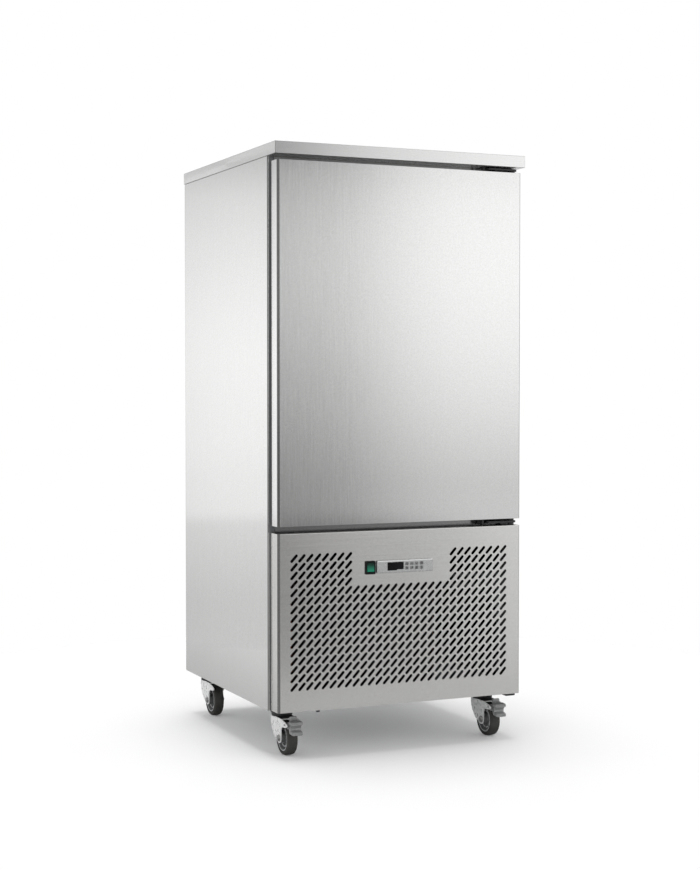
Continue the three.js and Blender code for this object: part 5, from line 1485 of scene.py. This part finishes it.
# Strokes on each key, in MARK_SCALE units: power, up, down, timer, cold, probe, fan and light.
KEY_MARKS = [
    [ring_path(1.8, 120, 420), [(0, 0.6), (0, 2.2)]],
    [[(-2, -0.9), (0, 1.3), (2, -0.9)]],
    [[(-2, 0.9), (0, -1.3), (2, 0.9)]],
    [ring_path(2.1), [(0, 1.3), (0, 0), (1.1, 0)]],
    [[(-2.1, 0), (2.1, 0)], [(-1.05, -1.8), (1.05, 1.8)], [(-1.05, 1.8), (1.05, -1.8)]],
    [[(-2.4, -1.7), (0.4, 0.5)], [(0.4, 0.5), (1.2, 1.9), (2.4, 0.9), (1.3, -0.2), (0.4, 0.5)]],
    [ring_path(0.6, steps=7), [(0.5, 0.3), (2.0, 1.6), (2.2, 0.4)],
     [(-0.5, -0.3), (-2.0, -1.6), (-2.2, -0.4)], [(-0.3, 0.5), (-1.2, 2.0), (0.1, 2.1)],
     [(0.3, -0.5), (1.2, -2.0), (-0.1, -2.1)]],
    [ring_path(1.5, -50, 230), [(-0.8, -1.3), (-0.6, -2.2), (0.6, -2.2), (0.8, -1.3)]],
]


def controller():
    """Bezel on its case, with the display's glass, and eight keys over a dark bed."""
    window = np.array(DISPLAY) * MM
    recess = eased(window + np.sign(window - window.mean(0)) * 0.0003, 0.0008, 3)
    wells = [key_outline(column, row, 0.0006) for row in range(2) for column in range(4)]
    bezel = rounded(CONTROL_X, CONTROL_Z, 0.0030, 7)
    lip = rounded_within(CONTROL_X, CONTROL_Z, LIP, 0.0016, 7)
    front, bed = CONTROL_FRONT - 0.00055, CONTROL_FRONT + 0.0024
    parts = [pierced(lip, [recess] + wells, CONTROL_FRONT, bed, "Y"),
             sloped(bezel, lip, CASE_FRONT, CASE_FRONT - 0.0006, CONTROL_FRONT)]
    piece("controller_front", parts, silver, "service_panel", ("controller_housing",),
          smooth=30)
    barrel = rounded_within(CONTROL_X, CONTROL_Z, 0.005, 0.001)
    parts = [prism(bezel, CASE_FRONT, FACE_Y - 0.0003, "Y"), prism(barrel, FACE_Y - 0.0006, -0.333, "Y")]
    piece("controller_case", parts, case_grey_for_shade, "service_panel", bevel=0.0003, smooth=30)
    glass = prism(eased(window, 0.0007, 3), CONTROL_FRONT - 0.0003, bed, "Y")
    piece("display_glass", [glass], display_glass(), "service_panel", ("display_window",),
          bevel=0.0003)
    bed_plate = prism(rounded((0.0015, 0.0650), (0.5215, 0.5470), 0.0012), bed, bed + 0.0004, "Y")
    piece("key_bed", [bed_plate], switch_black, "service_panel")
    for row in range(2):
        for column in range(4):
            number = row * 4 + column
            key = f"key_{number + 1}"
            cap = prism(key_outline(column, row), front, bed - KEY_TRAVEL, "Y")
            piece(key + "_cap", [cap], key_silver, key, (key,), bevel=0.0005)
            centre = (KEY_FIRST[0] + column * KEY_PITCH[0], KEY_FIRST[1] - row * KEY_PITCH[1])
            strokes = [part for layer, path in enumerate(KEY_MARKS[number])
                       for part in ribbon(path, centre, front - 0.00003 * layer)]
            piece(key + "_mark", strokes, mark_print, key)


controller()
